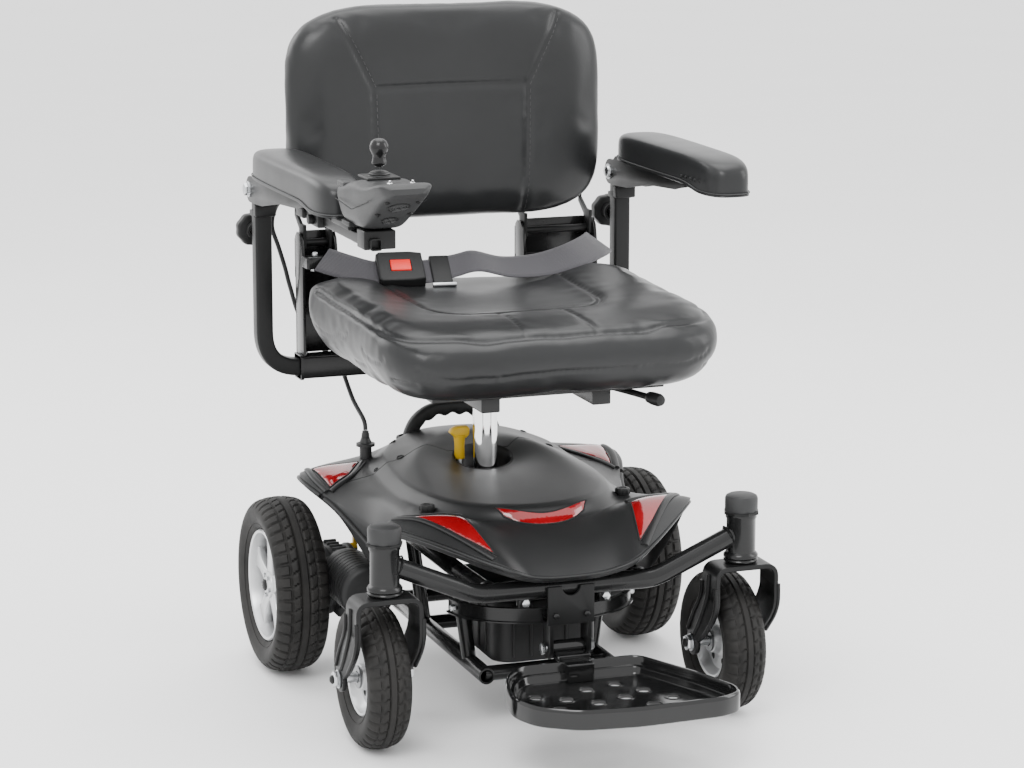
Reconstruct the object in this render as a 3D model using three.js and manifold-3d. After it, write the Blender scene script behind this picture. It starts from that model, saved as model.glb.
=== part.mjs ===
// Mid-size powered wheelchair: two driven rear wheels, two swivelling front casters, a plastic
// base shroud with red lenses, a post-mounted seat, flip-up armrests and a joystick controller.
// Millimetres, +Z up, the user faces -Y and the user's right hand is at -X.
import * as THREE from 'three';
import { mergeVertices } from 'three/addons/utils/BufferGeometryUtils.js';
import Module from 'manifold-3d';

const wasm = await Module();
wasm.setup();

// ---- driving dimensions -------------------------------------------------------------------
const GAP = 0.4;                 // running gap between separate pieces
const ORIGIN_Y = -35.23;         // puts the middle of the whole chair's depth over the origin

const DRIVE = { radius: 114.5, width: 70, rim: 72, x: 245, y: 190 };
const CASTER = { radius: 89, width: 54, rim: 47, x: 230, y: -209, trail: 52 };
const BARREL = { radius: 18, bottom: 205, top: 264 };
const ANTI_TIP = { radius: 30, width: 20, x: 96, y: 330, z: 42 };

const RAIL = { x: 81, z: 70, front: -150, rear: 232, radius: 10.5 };
const CROSSBAR = { radius: 12, bend: 115, z: 194 };
const BATTERY = { half: 69.5, front: -149, rear: -12, bottom: 83, top: 176, corner: 26 };
const HANDLE = { half: 65, y: 224, foot: 201, top: 326 };

const POST = { radius: 16, y: 89, bottom: 196, top: 394 };
const HOLE = { y: 98, rx: 41, ry: 31 };
const SKIN = 4;                  // thickness of the shroud's plastic

const SEAT = { half: 222, front: -218, rear: 206, bottom: 424, top: 495 };
const BACK = { half: 212, y: 252, thick: 70, bottom: 580, top: 861 };
const BACK_PIVOT = { y: 262, z: 552 };
const RECEIVER = { y: 251, z: 390, size: 30, half: 204 };

const ARM = { x: 250, y: 251, size: 22, bend: 46 };
const ARM_PIVOT = { y: 251, z: 628 };
const PAD = { half: 35, front: -132, rear: 212, bottom: 652, deep: 645, top: 691 };
const POD = { x: -238, half: 38, rear: -166, nose: -336, bottom: 646, rearTop: 692, top: 706 };
const RIDER_BAR = { x: -250, rear: 52, front: -296, z: 632 };

// ---- colours and finishes -----------------------------------------------------------------
const FINISH = {
  frame: [0x17181a, 0.35, 0.4],
  shroud: [0x333436, 0.55, 0.0],
  lens: [0xa5101c, 0.12, 0.0],
  upholstery: [0x3a3b3d, 0.5, 0.0],
  plastic: [0x222325, 0.5, 0.0],
  rubber: [0x1d1d1e, 0.85, 0.0],
  chrome: [0xd8dadc, 0.08, 1.0],
  silver: [0xb9bcc0, 0.3, 0.9],
  cast: [0x77797c, 0.55, 0.6],
  yellow: [0xd8b012, 0.4, 0.0],
  red: [0xd41f1a, 0.35, 0.0],
  webbing: [0x3c393f, 0.8, 0.0],
};

// ---- solids: three.js geometry in, one closed body out --------------------------------------
function solid(geometry) {
  const g = geometry.clone();
  g.deleteAttribute('normal');
  g.deleteAttribute('uv');
  const merged = mergeVertices(g, 0.001);
  const vertProperties = new Float32Array(merged.attributes.position.array);
  const triVerts = new Uint32Array(merged.index.array);
  if (signedVolume(vertProperties, triVerts) < 0) triVerts.reverse();
  return new wasm.Manifold(new wasm.Mesh({ numProp: 3, vertProperties, triVerts }));
}

// Positive when the faces look outwards.
function signedVolume(points, triangles) {
  const corner = (k) => new THREE.Vector3().fromArray(points, 3 * triangles[k]);
  let total = 0;
  for (let k = 0; k < triangles.length; k += 3) {
    total += corner(k).dot(corner(k + 1).cross(corner(k + 2)));
  }
  return total;
}

function join(...geometries) {
  return geometries.map(solid).reduce((all, next) => all.add(next));
}

function cut(from, ...geometries) {
  const body = from instanceof THREE.BufferGeometry ? solid(from) : from;
  return geometries.map(solid).reduce((all, next) => all.subtract(next), body);
}

function geometryOf(body) {
  const mesh = body.getMesh();
  const geometry = new THREE.BufferGeometry();
  const points = new Float32Array(mesh.vertProperties);
  geometry.setAttribute('position', new THREE.BufferAttribute(points, 3));
  geometry.setIndex(new THREE.BufferAttribute(new Uint32Array(mesh.triVerts), 1));
  return geometry;
}

// ---- shape helpers ------------------------------------------------------------------------
function block(x0, x1, y0, y1, z0, z1) {
  const g = new THREE.BoxGeometry(x1 - x0, y1 - y0, z1 - z0);
  return g.translate((x0 + x1) / 2, (y0 + y1) / 2, (z0 + z1) / 2);
}

function rod(radius, from, to, sides = 16, endRadius = radius) {
  const a = new THREE.Vector3(...from);
  const b = new THREE.Vector3(...to);
  const along = b.clone().sub(a);
  const g = new THREE.CylinderGeometry(endRadius, radius, along.length(), sides);
  const up = new THREE.Vector3(0, 1, 0);
  const turn = new THREE.Quaternion().setFromUnitVectors(up, along.normalize());
  return g.applyQuaternion(turn).translate(...a.add(b).multiplyScalar(0.5).toArray());
}

function sweep(section, points, steps, smooth = true) {
  const at = points.map((p) => new THREE.Vector3(...p));
  const path = smooth ? new THREE.CatmullRomCurve3(at, false, 'centripetal') : new THREE.CurvePath();
  if (!smooth) at.slice(1).forEach((p, i) => path.add(new THREE.LineCurve3(at[i], p)));
  return new THREE.ExtrudeGeometry(section, { steps, bevelEnabled: false, extrudePath: path });
}

function disc(radius, sides = 12) {
  const circle = new THREE.EllipseCurve(0, 0, radius, radius, 0, 2 * Math.PI);
  return new THREE.Shape(circle.getPoints(sides).slice(1));
}

function rectangle(width, height, r = 2) {
  const s = new THREE.Shape();
  const x = width / 2;
  const y = height / 2;
  s.moveTo(-x + r, -y).lineTo(x - r, -y).lineTo(x, -y + r).lineTo(x, y - r);
  return s.lineTo(x - r, y).lineTo(-x + r, y).lineTo(-x, y - r).lineTo(-x, -y + r);
}

function outline(points) {
  return new THREE.Shape(points.map(([x, y]) => new THREE.Vector2(x, y)));
}

function slab(shape, z0, z1, curveSegments = 6) {
  const g = new THREE.ExtrudeGeometry(shape, { depth: z1 - z0, bevelEnabled: false, curveSegments });
  return g.translate(0, 0, z0);
}

// A shape drawn as (y, z) and pulled along X from x0 to x1.
function sidePlate(shape, x0, x1, curveSegments = 6) {
  const g = new THREE.ExtrudeGeometry(shape, { depth: x1 - x0, bevelEnabled: false, curveSegments });
  g.applyMatrix4(new THREE.Matrix4().makeBasis(
    new THREE.Vector3(0, 1, 0), new THREE.Vector3(0, 0, 1), new THREE.Vector3(1, 0, 0)));
  return g.translate(x0, 0, 0);
}

// A closed (radius, x) profile turned about the X axis.
function wheelTurning(profile, segments) {
  const loop = [...profile, profile[0]].map(([r, x]) => new THREE.Vector2(r, x));
  return new THREE.LatheGeometry(loop, segments).rotateZ(-Math.PI / 2);
}

// An axis-to-axis (radius, z) profile turned about a vertical axis.
function turned(profile, segments, x = 0, y = 0) {
  const g = new THREE.LatheGeometry(profile.map(([r, z]) => new THREE.Vector2(r, z)), segments);
  return g.rotateX(Math.PI / 2).translate(x, y, 0);
}

// A padded block: a box whose faces are pushed to place(u, v, w), with u, v and w from -1 to 1.
function padded(nx, ny, place) {
  const g = new THREE.BoxGeometry(2, 2, 2, nx, ny, 2);
  const at = g.attributes.position;
  for (let i = 0; i < at.count; i += 1) at.setXYZ(i, ...place(at.getX(i), at.getY(i), at.getZ(i)));
  return g;
}

function roundedSquare(u, v, k) {
  return [u * Math.sqrt(1 - k * v * v), v * Math.sqrt(1 - k * u * u)];
}

const chair = new THREE.Group();
const mirror = new THREE.Matrix4().makeScale(-1, 1, 1);

function add(name, shape, finish, parent = chair) {
  const geometry = geometryOf(shape instanceof THREE.BufferGeometry ? solid(shape) : shape);
  const [color, roughness, metalness] = FINISH[finish];
  const material = new THREE.MeshStandardMaterial({ color, roughness, metalness });
  const mesh = new THREE.Mesh(geometry, material);
  mesh.name = name;
  parent.add(mesh);
  return mesh;
}

// Adds a piece and its mirror image across the chair's mid-plane: side -1 is the user's right.
function addPair(name, make, finish) {
  for (const [tag, side] of [['r', -1], ['l', 1]]) add(`${name}_${tag}`, make(side), finish);
}

function flipped(geometry, side) {
  if (side > 0) return geometry;
  return geometryOf(solid(geometry).transform(mirror.toArray()));
}

// ---- wheels -------------------------------------------------------------------------------
function tyre({ radius, width, rim }, segments) {
  const h = width / 2;
  const profile = [
    [rim + GAP, -0.62 * h], [(rim + radius) / 2, -h], [radius - 9, -0.88 * h], [radius, -0.4 * h],
    [radius, 0.4 * h], [radius - 9, 0.88 * h], [(rim + radius) / 2, h], [rim + GAP, 0.62 * h],
  ];
  return wheelTurning(profile, segments);
}

// side is the way that the wheel's outer face looks.
function driveRim(side) {
  const { rim, width } = DRIVE;
  const h = 0.36 * width;
  const barrel = wheelTurning([[rim, -h], [rim, h], [rim - 6, h], [rim - 7, -h]], 32);
  const hub = rod(19, [-side * 14, 0, 0], [side * 16, 0, 0], 20);
  const spokes = [];
  for (let i = 0; i < 5; i += 1) {
    const spoke = block(-5, 5, -9, 9, 14, rim - 3).translate(side * 8, 0, 0);
    spokes.push(spoke.rotateX((i * 2 * Math.PI) / 5));
  }
  return join(barrel, hub, ...spokes);
}

function casterRim() {
  const { rim, width } = CASTER;
  const h = 0.32 * width;
  const barrel = wheelTurning([[rim, -h], [rim, h], [rim - 4, h], [rim - 4, -h]], 26);
  const web = rod(rim - 2, [-4, 0, 0], [4, 0, 0], 26);
  const hub = rod(14, [-25, 0, 0], [25, 0, 0], 12);
  return cut(join(barrel, web, hub), rod(6.6, [-30, 0, 0], [30, 0, 0], 12));
}

const driveCentre = (side) => [side * DRIVE.x, DRIVE.y, DRIVE.radius];
const casterCentre = (side) => [side * CASTER.x, CASTER.y + CASTER.trail, CASTER.radius];

for (const [tag, side] of [['r', -1], ['l', 1]]) {
  const hub = new THREE.Group();
  hub.position.set(...driveCentre(side));
  chair.add(hub);
  add(`drive_tyre_${tag}`, tyre(DRIVE, 32), 'rubber', hub);
  add(`drive_rim_${tag}`, driveRim(side), 'silver', hub);
  const casterHub = new THREE.Group();
  casterHub.position.set(...casterCentre(side));
  chair.add(casterHub);
  add(`caster_tyre_${tag}`, tyre(CASTER, 26), 'rubber', casterHub);
  add(`caster_rim_${tag}`, casterRim(), 'silver', casterHub);
  const tipHub = new THREE.Group();
  tipHub.position.set(side * ANTI_TIP.x, ANTI_TIP.y, ANTI_TIP.z);
  chair.add(tipHub);
  const r = ANTI_TIP.radius;
  const w = ANTI_TIP.width / 2;
  const tipProfile = [[4.6, -w], [r - 3, -w], [r, -w + 4], [r, w - 4], [r - 3, w], [4.6, w]];
  add(`anti_tip_wheel_${tag}`, wheelTurning(tipProfile, 18), 'rubber', tipHub);
}

// ---- caster forks -------------------------------------------------------------------------
function forkArm(x0) {
  const z = CASTER.radius;
  const y = CASTER.trail;
  const s = new THREE.Shape();
  s.moveTo(-22, 197).lineTo(-21, 150);
  s.lineTo(y - 16, z - 4).absarc(y, z, 16, Math.PI, 2 * Math.PI, false);
  s.lineTo(y + 12, z + 24).lineTo(26, 160).lineTo(22, 197);
  return sidePlate(s, x0, x0 + 6, 4);
}

function casterFork(side) {
  const z = CASTER.radius;
  const y = CASTER.trail;
  const crown = slab(rectangle(88, 44, 6), 196, 202.4);
  const collar = rod(19, [0, 0, 201], [0, 0, BARREL.bottom - GAP], 16);
  const stem = rod(9, [0, 0, 200], [0, 0, BARREL.top - 8], 12);
  const axle = rod(6, [-47, y, z], [47, y, z], 10);
  const nut = rod(10, [side * 43, y, z], [side * 51, y, z], 6);
  const head = rod(9, [-side * 43, y, z], [-side * 50, y, z], 12);
  return join(crown, forkArm(-42), forkArm(36), collar, stem, axle, nut, head);
}

for (const [tag, side] of [['r', -1], ['l', 1]]) {
  const stem = new THREE.Group();
  stem.position.set(side * CASTER.x, CASTER.y, 0);
  chair.add(stem);
  add(`caster_fork_${tag}`, casterFork(-1), 'frame', stem);
  const capProfile = [[0, 25], [17, 25], [19, 22], [19, 4], [22.5, 3], [22.5, GAP], [0, GAP]];
  const cap = turned(capProfile, 18).translate(0, 0, BARREL.top);
  add(`caster_cap_${tag}`, cap, 'plastic', stem);
}

// ---- front frame: caster barrels, crossbar, struts to the base frame -------------------------
const STRUT_X = 98;
const UPPER_RAIL_Z = 190;
const JOINT_Y = -96;             // where the front frame plugs into the base frame

function frontFrame() {
  const { x, y } = CASTER;
  const pieces = [];
  for (const side of [-1, 1]) {
    const barrel = rod(BARREL.radius, [side * x, y, BARREL.bottom], [side * x, y, BARREL.top], 16);
    const foot = [side * x, y, BARREL.bottom];
    const flange = rod(BARREL.radius + 3, foot, [side * x, y, BARREL.bottom + 14], 16);
    const bend = [side * CROSSBAR.bend, y, CROSSBAR.z];
    const arm = rod(CROSSBAR.radius, [side * (x - 6), y, 240], bend, 10);
    const socket = [side * STRUT_X, JOINT_Y - GAP, UPPER_RAIL_Z];
    const strut = rod(11, [side * STRUT_X, y, CROSSBAR.z], socket, 10);
    pieces.push(barrel, flange, arm, strut);
  }
  const reach = CROSSBAR.bend + 4;
  pieces.push(rod(CROSSBAR.radius, [-reach, y, CROSSBAR.z - 1], [reach, y, CROSSBAR.z - 1], 10));
  const bores = [-1, 1].map((side) => rod(9.8, [side * x, y, 190], [side * x, y, 280], 12));
  return cut(join(...pieces), ...bores);
}
add('front_frame', frontFrame(), 'frame');

function antiTipArm(side) {
  const { x, y, z } = ANTI_TIP;
  const plateX = side * (x - 14.5);
  return [
    rod(8, [side * (RAIL.x - 6), RAIL.rear - 8, RAIL.z], [side * (x - 22), y - 22, z + 4], 8),
    rod(4, [side * (x - 24), y, z], [side * (x + 14), y, z], 10),
    block(plateX - 2.5, plateX + 2.5, y - 34, y + 7, z - 8, z + 14),
  ];
}

// ---- base frame: rails, uprights, post socket, motor brackets, anti-tip arms -------------------
function baseFrame() {
  const { x, z, front, rear, radius } = RAIL;
  const pieces = [];
  for (const side of [-1, 1]) {
    pieces.push(rod(radius, [side * x, front, z], [side * x, rear, z], 12));
    const upper = [side * STRUT_X, JOINT_Y, UPPER_RAIL_Z];
    pieces.push(rod(11, upper, [side * STRUT_X, 236, UPPER_RAIL_Z], 10));
    for (const y of [-84, 96, 222]) {
      pieces.push(rod(9, [side * x, y, z], [side * STRUT_X, y, UPPER_RAIL_Z], 8));
    }
    pieces.push(...antiTipArm(side));
  }
  for (const y of [front + 12, 96, rear - 10]) {
    pieces.push(rod(radius - 1, [-x, y, z], [x, y, z], 8));
  }
  for (const y of [POST.y, 222]) {
    pieces.push(rod(10, [-STRUT_X, y, UPPER_RAIL_Z], [STRUT_X, y, UPPER_RAIL_Z], 8));
  }
  pieces.push(rod(23, [0, POST.y, 180], [0, POST.y, 262], 16));
  const socket = rod(POST.radius + GAP, [0, POST.y, POST.bottom - GAP], [0, POST.y, 300], 24);
  return cut(join(...pieces), socket);
}
add('base_frame', baseFrame(), 'frame');

// ---- battery box with its top rim, and the lifting handle ------------------------------------
function roundedPlan(half, front, rear, corner) {
  const s = new THREE.Shape();
  s.moveTo(-half, rear).lineTo(-half, front + corner);
  s.absarc(-half + corner, front + corner, corner, Math.PI, 1.5 * Math.PI, false);
  s.lineTo(half - corner, front);
  s.absarc(half - corner, front + corner, corner, 1.5 * Math.PI, 2 * Math.PI, false);
  return s.lineTo(half, rear);
}
const boxPlan = roundedPlan(BATTERY.half, BATTERY.front, BATTERY.rear, BATTERY.corner);
add('battery_box', slab(boxPlan, BATTERY.bottom, BATTERY.top, 5), 'plastic');

function frontBand() {
  const outer = new THREE.EllipseCurve(0, -112, 119, 88, Math.PI, 2 * Math.PI).getPoints(22);
  const inner = new THREE.EllipseCurve(0, -112, 114, 83, 0, Math.PI, true).getPoints(22);
  return slab(new THREE.Shape([...outer, ...inner]), 146, 165);
}
add('front_band', frontBand(), 'frame');

function liftHandle() {
  const { half, y, foot, top } = HANDLE;
  const grip = [[-half, y, foot], [-half + 4, y, foot + 90], [-half + 22, y, top - 8], [-20, y, top],
    [20, y, top], [half - 22, y, top - 8], [half - 4, y, foot + 90], [half, y, foot]];
  return sweep(rectangle(18, 16, 4), grip, 18);
}
add('lift_handle', liftHandle(), 'plastic');

// ---- shroud: one moulded shell lofted through closed rings, then split front and rear ---------
// Each ring is the half outline from the nose round to the back, and is mirrored and closed.
const ellipseRing = (cy, rx, ry, zFront, zBack) => Array.from({ length: 10 }, (_, i) => {
  const a = (i / 9) * Math.PI;
  const rise = (1 - Math.cos(a)) / 2;
  return [rx * Math.sin(a), cy - ry * Math.cos(a), THREE.MathUtils.lerp(zFront, zBack, rise)];
});

const SHROUD_RINGS = [
  ellipseRing(HOLE.y, HOLE.rx, HOLE.ry, 276, 297),
  ellipseRing(88, 88, 88, 277, 309),
  [[0, -130, 275], [42, -124, 275], [80, -103, 275], [108, -66, 273], [122, -16, 271], [126, 38, 270],
    [122, 100, 272], [108, 170, 282], [62, 215, 296], [0, 226, 300]],
  [[0, -142, 259], [50, -136, 260], [92, -116, 262], [122, -74, 262], [136, -18, 262], [140, 40, 262],
    [138, 110, 264], [130, 182, 268], [76, 236, 282], [0, 250, 284]],
  [[0, -190, 240], [58, -186, 246], [118, -150, 272], [176, -112, 269], [158, -40, 252], [156, 40, 250],
    [172, 110, 252], [186, 196, 266], [102, 262, 256], [0, 276, 256]],
  [[0, -235, 214], [52, -233, 218], [98, -226, 236], [202, -116, 264], [176, -54, 222], [172, 24, 222],
    [196, 106, 238], [217, 202, 258], [118, 284, 226], [0, 296, 222]],
  [[0, -229, 206], [50, -227, 208], [96, -219, 222], [196, -108, 246], [174, -50, 158], [172, 22, 168],
    [194, 104, 222], [212, 206, 243], [116, 284, 188], [0, 294, 184]],
];

function insetRing(ring, inward, down) {
  return ring.map(([x, y, z]) => {
    const reach = Math.hypot(x, y - 70);
    const k = (reach - inward) / reach;
    return [x * k, 70 + (y - 70) * k, z - down];
  });
}

function closedCurve(half) {
  const right = half.map((p) => new THREE.Vector3(...p));
  const left = half.slice(1, -1).reverse().map(([x, y, z]) => new THREE.Vector3(-x, y, z));
  return new THREE.CatmullRomCurve3([...right, ...left], true, 'catmullrom', 0.5);
}

function lofted(rings, samples) {
  const curves = rings.map(closedCurve);
  const loop = [...curves, curves[0]];
  const g = new THREE.LatheGeometry(loop.map((_, j) => new THREE.Vector2(1, j)), samples);
  for (let i = 0; i <= samples; i += 1) {
    loop.forEach((curve, j) => {
      g.attributes.position.setXYZ(i * loop.length + j, ...curve.getPoint((i % samples) / samples));
    });
  }
  return g;
}

const innerRings = SHROUD_RINGS.map((ring, i) => insetRing(ring, i < 2 ? 0 : SKIN, i < 5 ? SKIN : 0));
const shell = solid(lofted([...SHROUD_RINGS, ...innerRings.reverse()], 54));

function through(points, z0 = 120, z1 = 360) {
  return slab(outline(points), z0, z1);
}

const SEAM = [[41, 116], [64, 138], [103, 121], [132, 134], [240, 134]];
const seamPath = [...SEAM.slice().reverse().map(([x, y]) => [-x, y]), ...SEAM];
const frontSide = through([[240, -300], ...seamPath.slice().reverse(), [-240, -300]]);
const rearSide = through([[-240, 340], ...seamPath.map(([x, y]) => [x, y + GAP]), [240, 340]]);

const FRONT_LENS = [[110, -141], [93, -216], [184, -112]];
const REAR_LENS = [[139, 193], [166, 152], [195, 136], [203, 194]];
// The centre lens is a crescent, drawn in from its opening by inset.
const centreLens = (inset) => [[-52, -124], [-27, -133], [0, -136], [27, -133], [52, -124]]
  .map(([x, y]) => [x * (1 - 0.05 * inset), y - inset])
  .concat([[44, -140], [20, -150], [0, -152], [-20, -150], [-44, -140]]
    .map(([x, y]) => [x * (1 - 0.05 * inset), y + inset]));

// Draws a plan outline in a little, so that a lens clears the opening that it sits in.
function shrunk(points, by) {
  const cx = points.reduce((sum, [x]) => sum + x, 0) / points.length;
  const cy = points.reduce((sum, [, y]) => sum + y, 0) / points.length;
  return points.map(([x, y]) => [cx + (x - cx) * by, cy + (y - cy) * by]);
}

const onSide = (points, side) => points.map(([x, y]) => [side * x, y]);
const KNOB_AT = [130, -66];
const PLUG = { x: -125, y: 208, top: 306, bottom: 262, radius: 8 };

function lens(points, side) {
  return shell.intersect(solid(through(shrunk(onSide(points, side), 0.97))));
}

const frontHoles = [];
const rearHoles = [rod(PLUG.radius + GAP, [PLUG.x, PLUG.y, 250], [PLUG.x, PLUG.y, 330], 16)];
for (const side of [-1, 1]) {
  const [knobX, knobY] = [side * KNOB_AT[0], KNOB_AT[1]];
  frontHoles.push(through(onSide(FRONT_LENS, side)));
  frontHoles.push(rod(9.6, [knobX, knobY, 200], [knobX, knobY, 320], 14));
  const x = side * (HANDLE.half - 2);
  rearHoles.push(through(onSide(REAR_LENS, side)));
  rearHoles.push(block(x - 20, x + 16, HANDLE.y - 11, HANDLE.y + 11, 200, 320));
}
frontHoles.push(through(centreLens(0), 200));
add('front_shroud', cut(shell.intersect(solid(frontSide)), ...frontHoles), 'shroud');
add('rear_shroud', cut(shell.intersect(solid(rearSide)), ...rearHoles), 'shroud');
addPair('front_lens', (side) => lens(FRONT_LENS, side), 'lens');
addPair('rear_lens', (side) => lens(REAR_LENS, side), 'lens');
add('centre_lens', shell.intersect(solid(through(centreLens(0.8), 200))), 'lens');
addPair('shroud_knob', (side) => rod(9, [side * KNOB_AT[0], KNOB_AT[1], 238],
  [side * KNOB_AT[0], KNOB_AT[1], 272], 14), 'plastic');
const plugProfile = [[0, PLUG.bottom], [8, PLUG.bottom], [8, 292], [6, 294], [3.6, PLUG.top],
  [0, PLUG.top]];
add('cable_plug', turned(plugProfile, 16, PLUG.x, PLUG.y), 'plastic');
add('release_lever', join(rod(5, [-29, 106, 240], [-29, 106, 314], 12),
  block(-41, -22, 100, 112, 313, 325)), 'yellow');

// ---- drive units: gearbox at the axle, motor lying forward of it --------------------------------
function driveUnit(side) {
  const { y, radius: z } = DRIVE;
  const pieces = [
    rod(46, [150, y, z], [196, y, z], 24),
    rod(30, [194, y, z], [206, y, z], 20),
    rod(9, [200, y, z], [230.4, y, z], 14),
    rod(36, [168, 54, z + 14], [168, y, z + 14], 24),
    block(110, 152, 110, 176, z + 10, z + 34),
  ];
  return flipped(geometryOf(join(...pieces)), side);
}
addPair('drive_unit', driveUnit, 'cast');

const FREEWHEEL = { x: 140, y: 204, z: 150 };
addPair('freewheel_lever', (side) => {
  const { x, y, z } = FREEWHEEL;
  const boss = rod(7, [x, y, z], [x + 9.4, y, z], 12);
  const lever = join(boss, block(x, x + 5, y - 5, y + 5, z, z + 46));
  return flipped(geometryOf(lever), side);
}, 'yellow');

// ---- footplate ------------------------------------------------------------------------------
const FOOT_PIVOT = { y: -212, z: 118 };
const TRAY = { bottom: 83, floor: 87, rim: 108, wall: 4, slope: 0.012 };
const TRAY_OUTLINE = [[-72, -236], [82, -238], [106, -285], [128, -330], [148, -388], [143, -412],
  [118, -426], [10, -430], [-62, -420], [-106, -390], [-120, -352], [-112, -300], [-96, -262]];
const DRAIN_HOLES = [[-72, -300], [-40, -318], [-8, -340], [-60, -350], [-30, -372], [8, -388], [36, -280],
  [60, -312], [30, -330], [84, -346], [52, -366], [98, -384], [62, -400], [-4, -290]];

function footplateHanger() {
  const { y, z } = FOOT_PIVOT;
  const ear = (x0) => block(x0, x0 + 5, y - 14, y + 12, z - 13, 156);
  const notch = rod(12, [0, -232, 198], [0, -218, 198], 12);
  const plate = cut(block(-30, 30, -227, -222.4, 150, 198), notch);
  const shelf = block(-27, 27, -227, y + 12, 150, 156);
  return cut(plate.add(join(shelf, ear(-27), ear(22))), rod(5.2, [-40, y, z], [40, y, z], 12));
}
add('footplate_hanger', footplateHanger(), 'frame');

function footplate() {
  const { y, z } = FOOT_PIVOT;
  const wall = shrunk(TRAY_OUTLINE, (130 - TRAY.wall) / 130);
  const inside = slab(outline(wall), TRAY.floor, 140);
  const tray = cut(slab(outline(TRAY_OUTLINE), TRAY.bottom, TRAY.rim), inside);
  const holes = DRAIN_HOLES.map(([x, hy]) => rod(8.5, [x, hy, 70], [x, hy, 95], 6));
  const level = geometryOf(cut(tray, ...holes));
  const at = level.attributes.position;
  for (let i = 0; i < at.count; i += 1) at.setZ(i, at.getZ(i) + TRAY.slope * (at.getY(i) + 238));
  const arm = [rod(9, [-21, y, z], [21, y, z], 14), block(-20, 20, -240, y - 2, z - 12, z - 3)];
  return join(level, ...arm, rod(4.6, [-34, y, z], [34, y, z], 10));
}
add('footplate', footplate(), 'frame');

// ---- seat post, seat frame with its receiver tube, swivel lever --------------------------------
add('seat_post', rod(POST.radius, [0, POST.y, POST.bottom], [0, POST.y, POST.top], 24), 'chrome');

// The side of a back upright as (y, z), rounded off under the folding back's crossbar.
const CHEEK = [[240, 404], [275, 404], [275, 560], [268, 566], [254, 566], [246, 558], [243, 545],
  [240, 530]];

function backUpright(x0, x1) {
  const web = block(x0, x1, 271, 275, 404, 520);
  return [web, sidePlate(outline(CHEEK), x0, x0 + 4), sidePlate(outline(CHEEK), x1 - 4, x1)];
}

const BRACKET_R = [-199, -150];
const BRACKET_L = [108, 214];

function seatFrame() {
  const { y, z, size, half } = RECEIVER;
  const h = size / 2;
  const pieces = [
    block(-half, half, y - h, y + h, z - h, z + h),
    block(-150, 150, -150, 190, 417, 423.6),
    rod(24, [0, POST.y, 366], [0, POST.y, 410], 24),
    ...backUpright(...BRACKET_R), ...backUpright(...BRACKET_L),
    block(-200, -160, 214, 241, 524, 539),
    block(-146, -124, 262, 269, 371, 384),
  ];
  for (const x of [-72, 72]) pieces.push(block(x - 12, x + 12, -140, y + 4, 398, 418));
  pieces.push(block(-72, 72, POST.y - 30, POST.y + 30, 396, 418));
  const bore = (RECEIVER.size - 6.8) / 2;
  const tubeBore = block(-260, 260, y - bore, y + bore, z - bore, z + bore);
  const postBore = rod(POST.radius + GAP, [0, POST.y, 350], [0, POST.y, POST.top + GAP], 24);
  const pivotBore = rod(5.4, [-230, BACK_PIVOT.y, BACK_PIVOT.z], [230, BACK_PIVOT.y, BACK_PIVOT.z], 12);
  return cut(join(...pieces), tubeBore, postBore, pivotBore);
}
add('seat_frame', seatFrame(), 'frame');

const SWIVEL = { x: 100, y: -60, z: 408 };
const swivelRod = rod(4, [SWIVEL.x, SWIVEL.y, SWIVEL.z], [126, -186, SWIVEL.z + 2], 10);
const swivelBoss = rod(9, [SWIVEL.x, SWIVEL.y, 402], [SWIVEL.x, SWIVEL.y, 416.6], 14);
const swivelKnob = rod(8, [122, -168, SWIVEL.z + 2], [128, -196, SWIVEL.z + 2], 12);
add('swivel_lever', join(swivelRod, swivelBoss, swivelKnob), 'plastic');

// ---- seat cushion and back cushion -------------------------------------------------------------
function seatPlace(u, v, w) {
  const [su, sv] = roundedSquare(u, v, 0.24);
  const { half, front, rear, bottom, top } = SEAT;
  const y = THREE.MathUtils.lerp(front, rear, (sv + 1) / 2);
  const side = Math.abs(su) ** 4;
  const rise = 20 * side * (1 - 0.5 * Math.max(0, -sv)) - 16 * Math.max(0, -sv - 0.55);
  const tuck = 1 - 0.2 * ((1 - w) / 2) ** 1.5;
  return [half * su * tuck, y * tuck, THREE.MathUtils.lerp(bottom, top + rise, (w + 1) / 2)];
}
add('seat_cushion', padded(10, 10, seatPlace), 'upholstery');

function backPlace(u, v, w) {
  const [su, sv] = roundedSquare(u, v, 0.13);
  const { half, y, thick, bottom, top } = BACK;
  const z = THREE.MathUtils.lerp(bottom, top, (sv + 1) / 2);
  const edge = Math.max(Math.abs(u), Math.abs(v)) > 0.99 ? 0.8 : 1;
  const shoulder = 1 - (v > 0 ? 0.2 : 0.1) * v ** 6;
  return [half * su * shoulder, y - (w * thick * edge) / 2 + 6 * sv, z];
}
add('back_cushion', padded(10, 8, backPlace), 'upholstery');

function backFrame() {
  const { y, z } = BACK_PIVOT;
  const tongue = ([x0, x1]) => [
    block(x0 + 4.6, x0 + 9, y - 12, y + 8, z - 12, 578),
    block(x1 - 9, x1 - 4.6, y - 12, y + 8, z - 12, 578),
    rod(5, [x0 + GAP, y, z], [x1 - GAP, y, z], 12),
  ];
  const bar = block(BRACKET_R[0] + 4.6, BRACKET_L[1] - 4.6, y - 14, y + 10, 571, 578);
  return join(...tongue(BRACKET_R), ...tongue(BRACKET_L), bar);
}
add('back_frame', backFrame(), 'frame');

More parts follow.
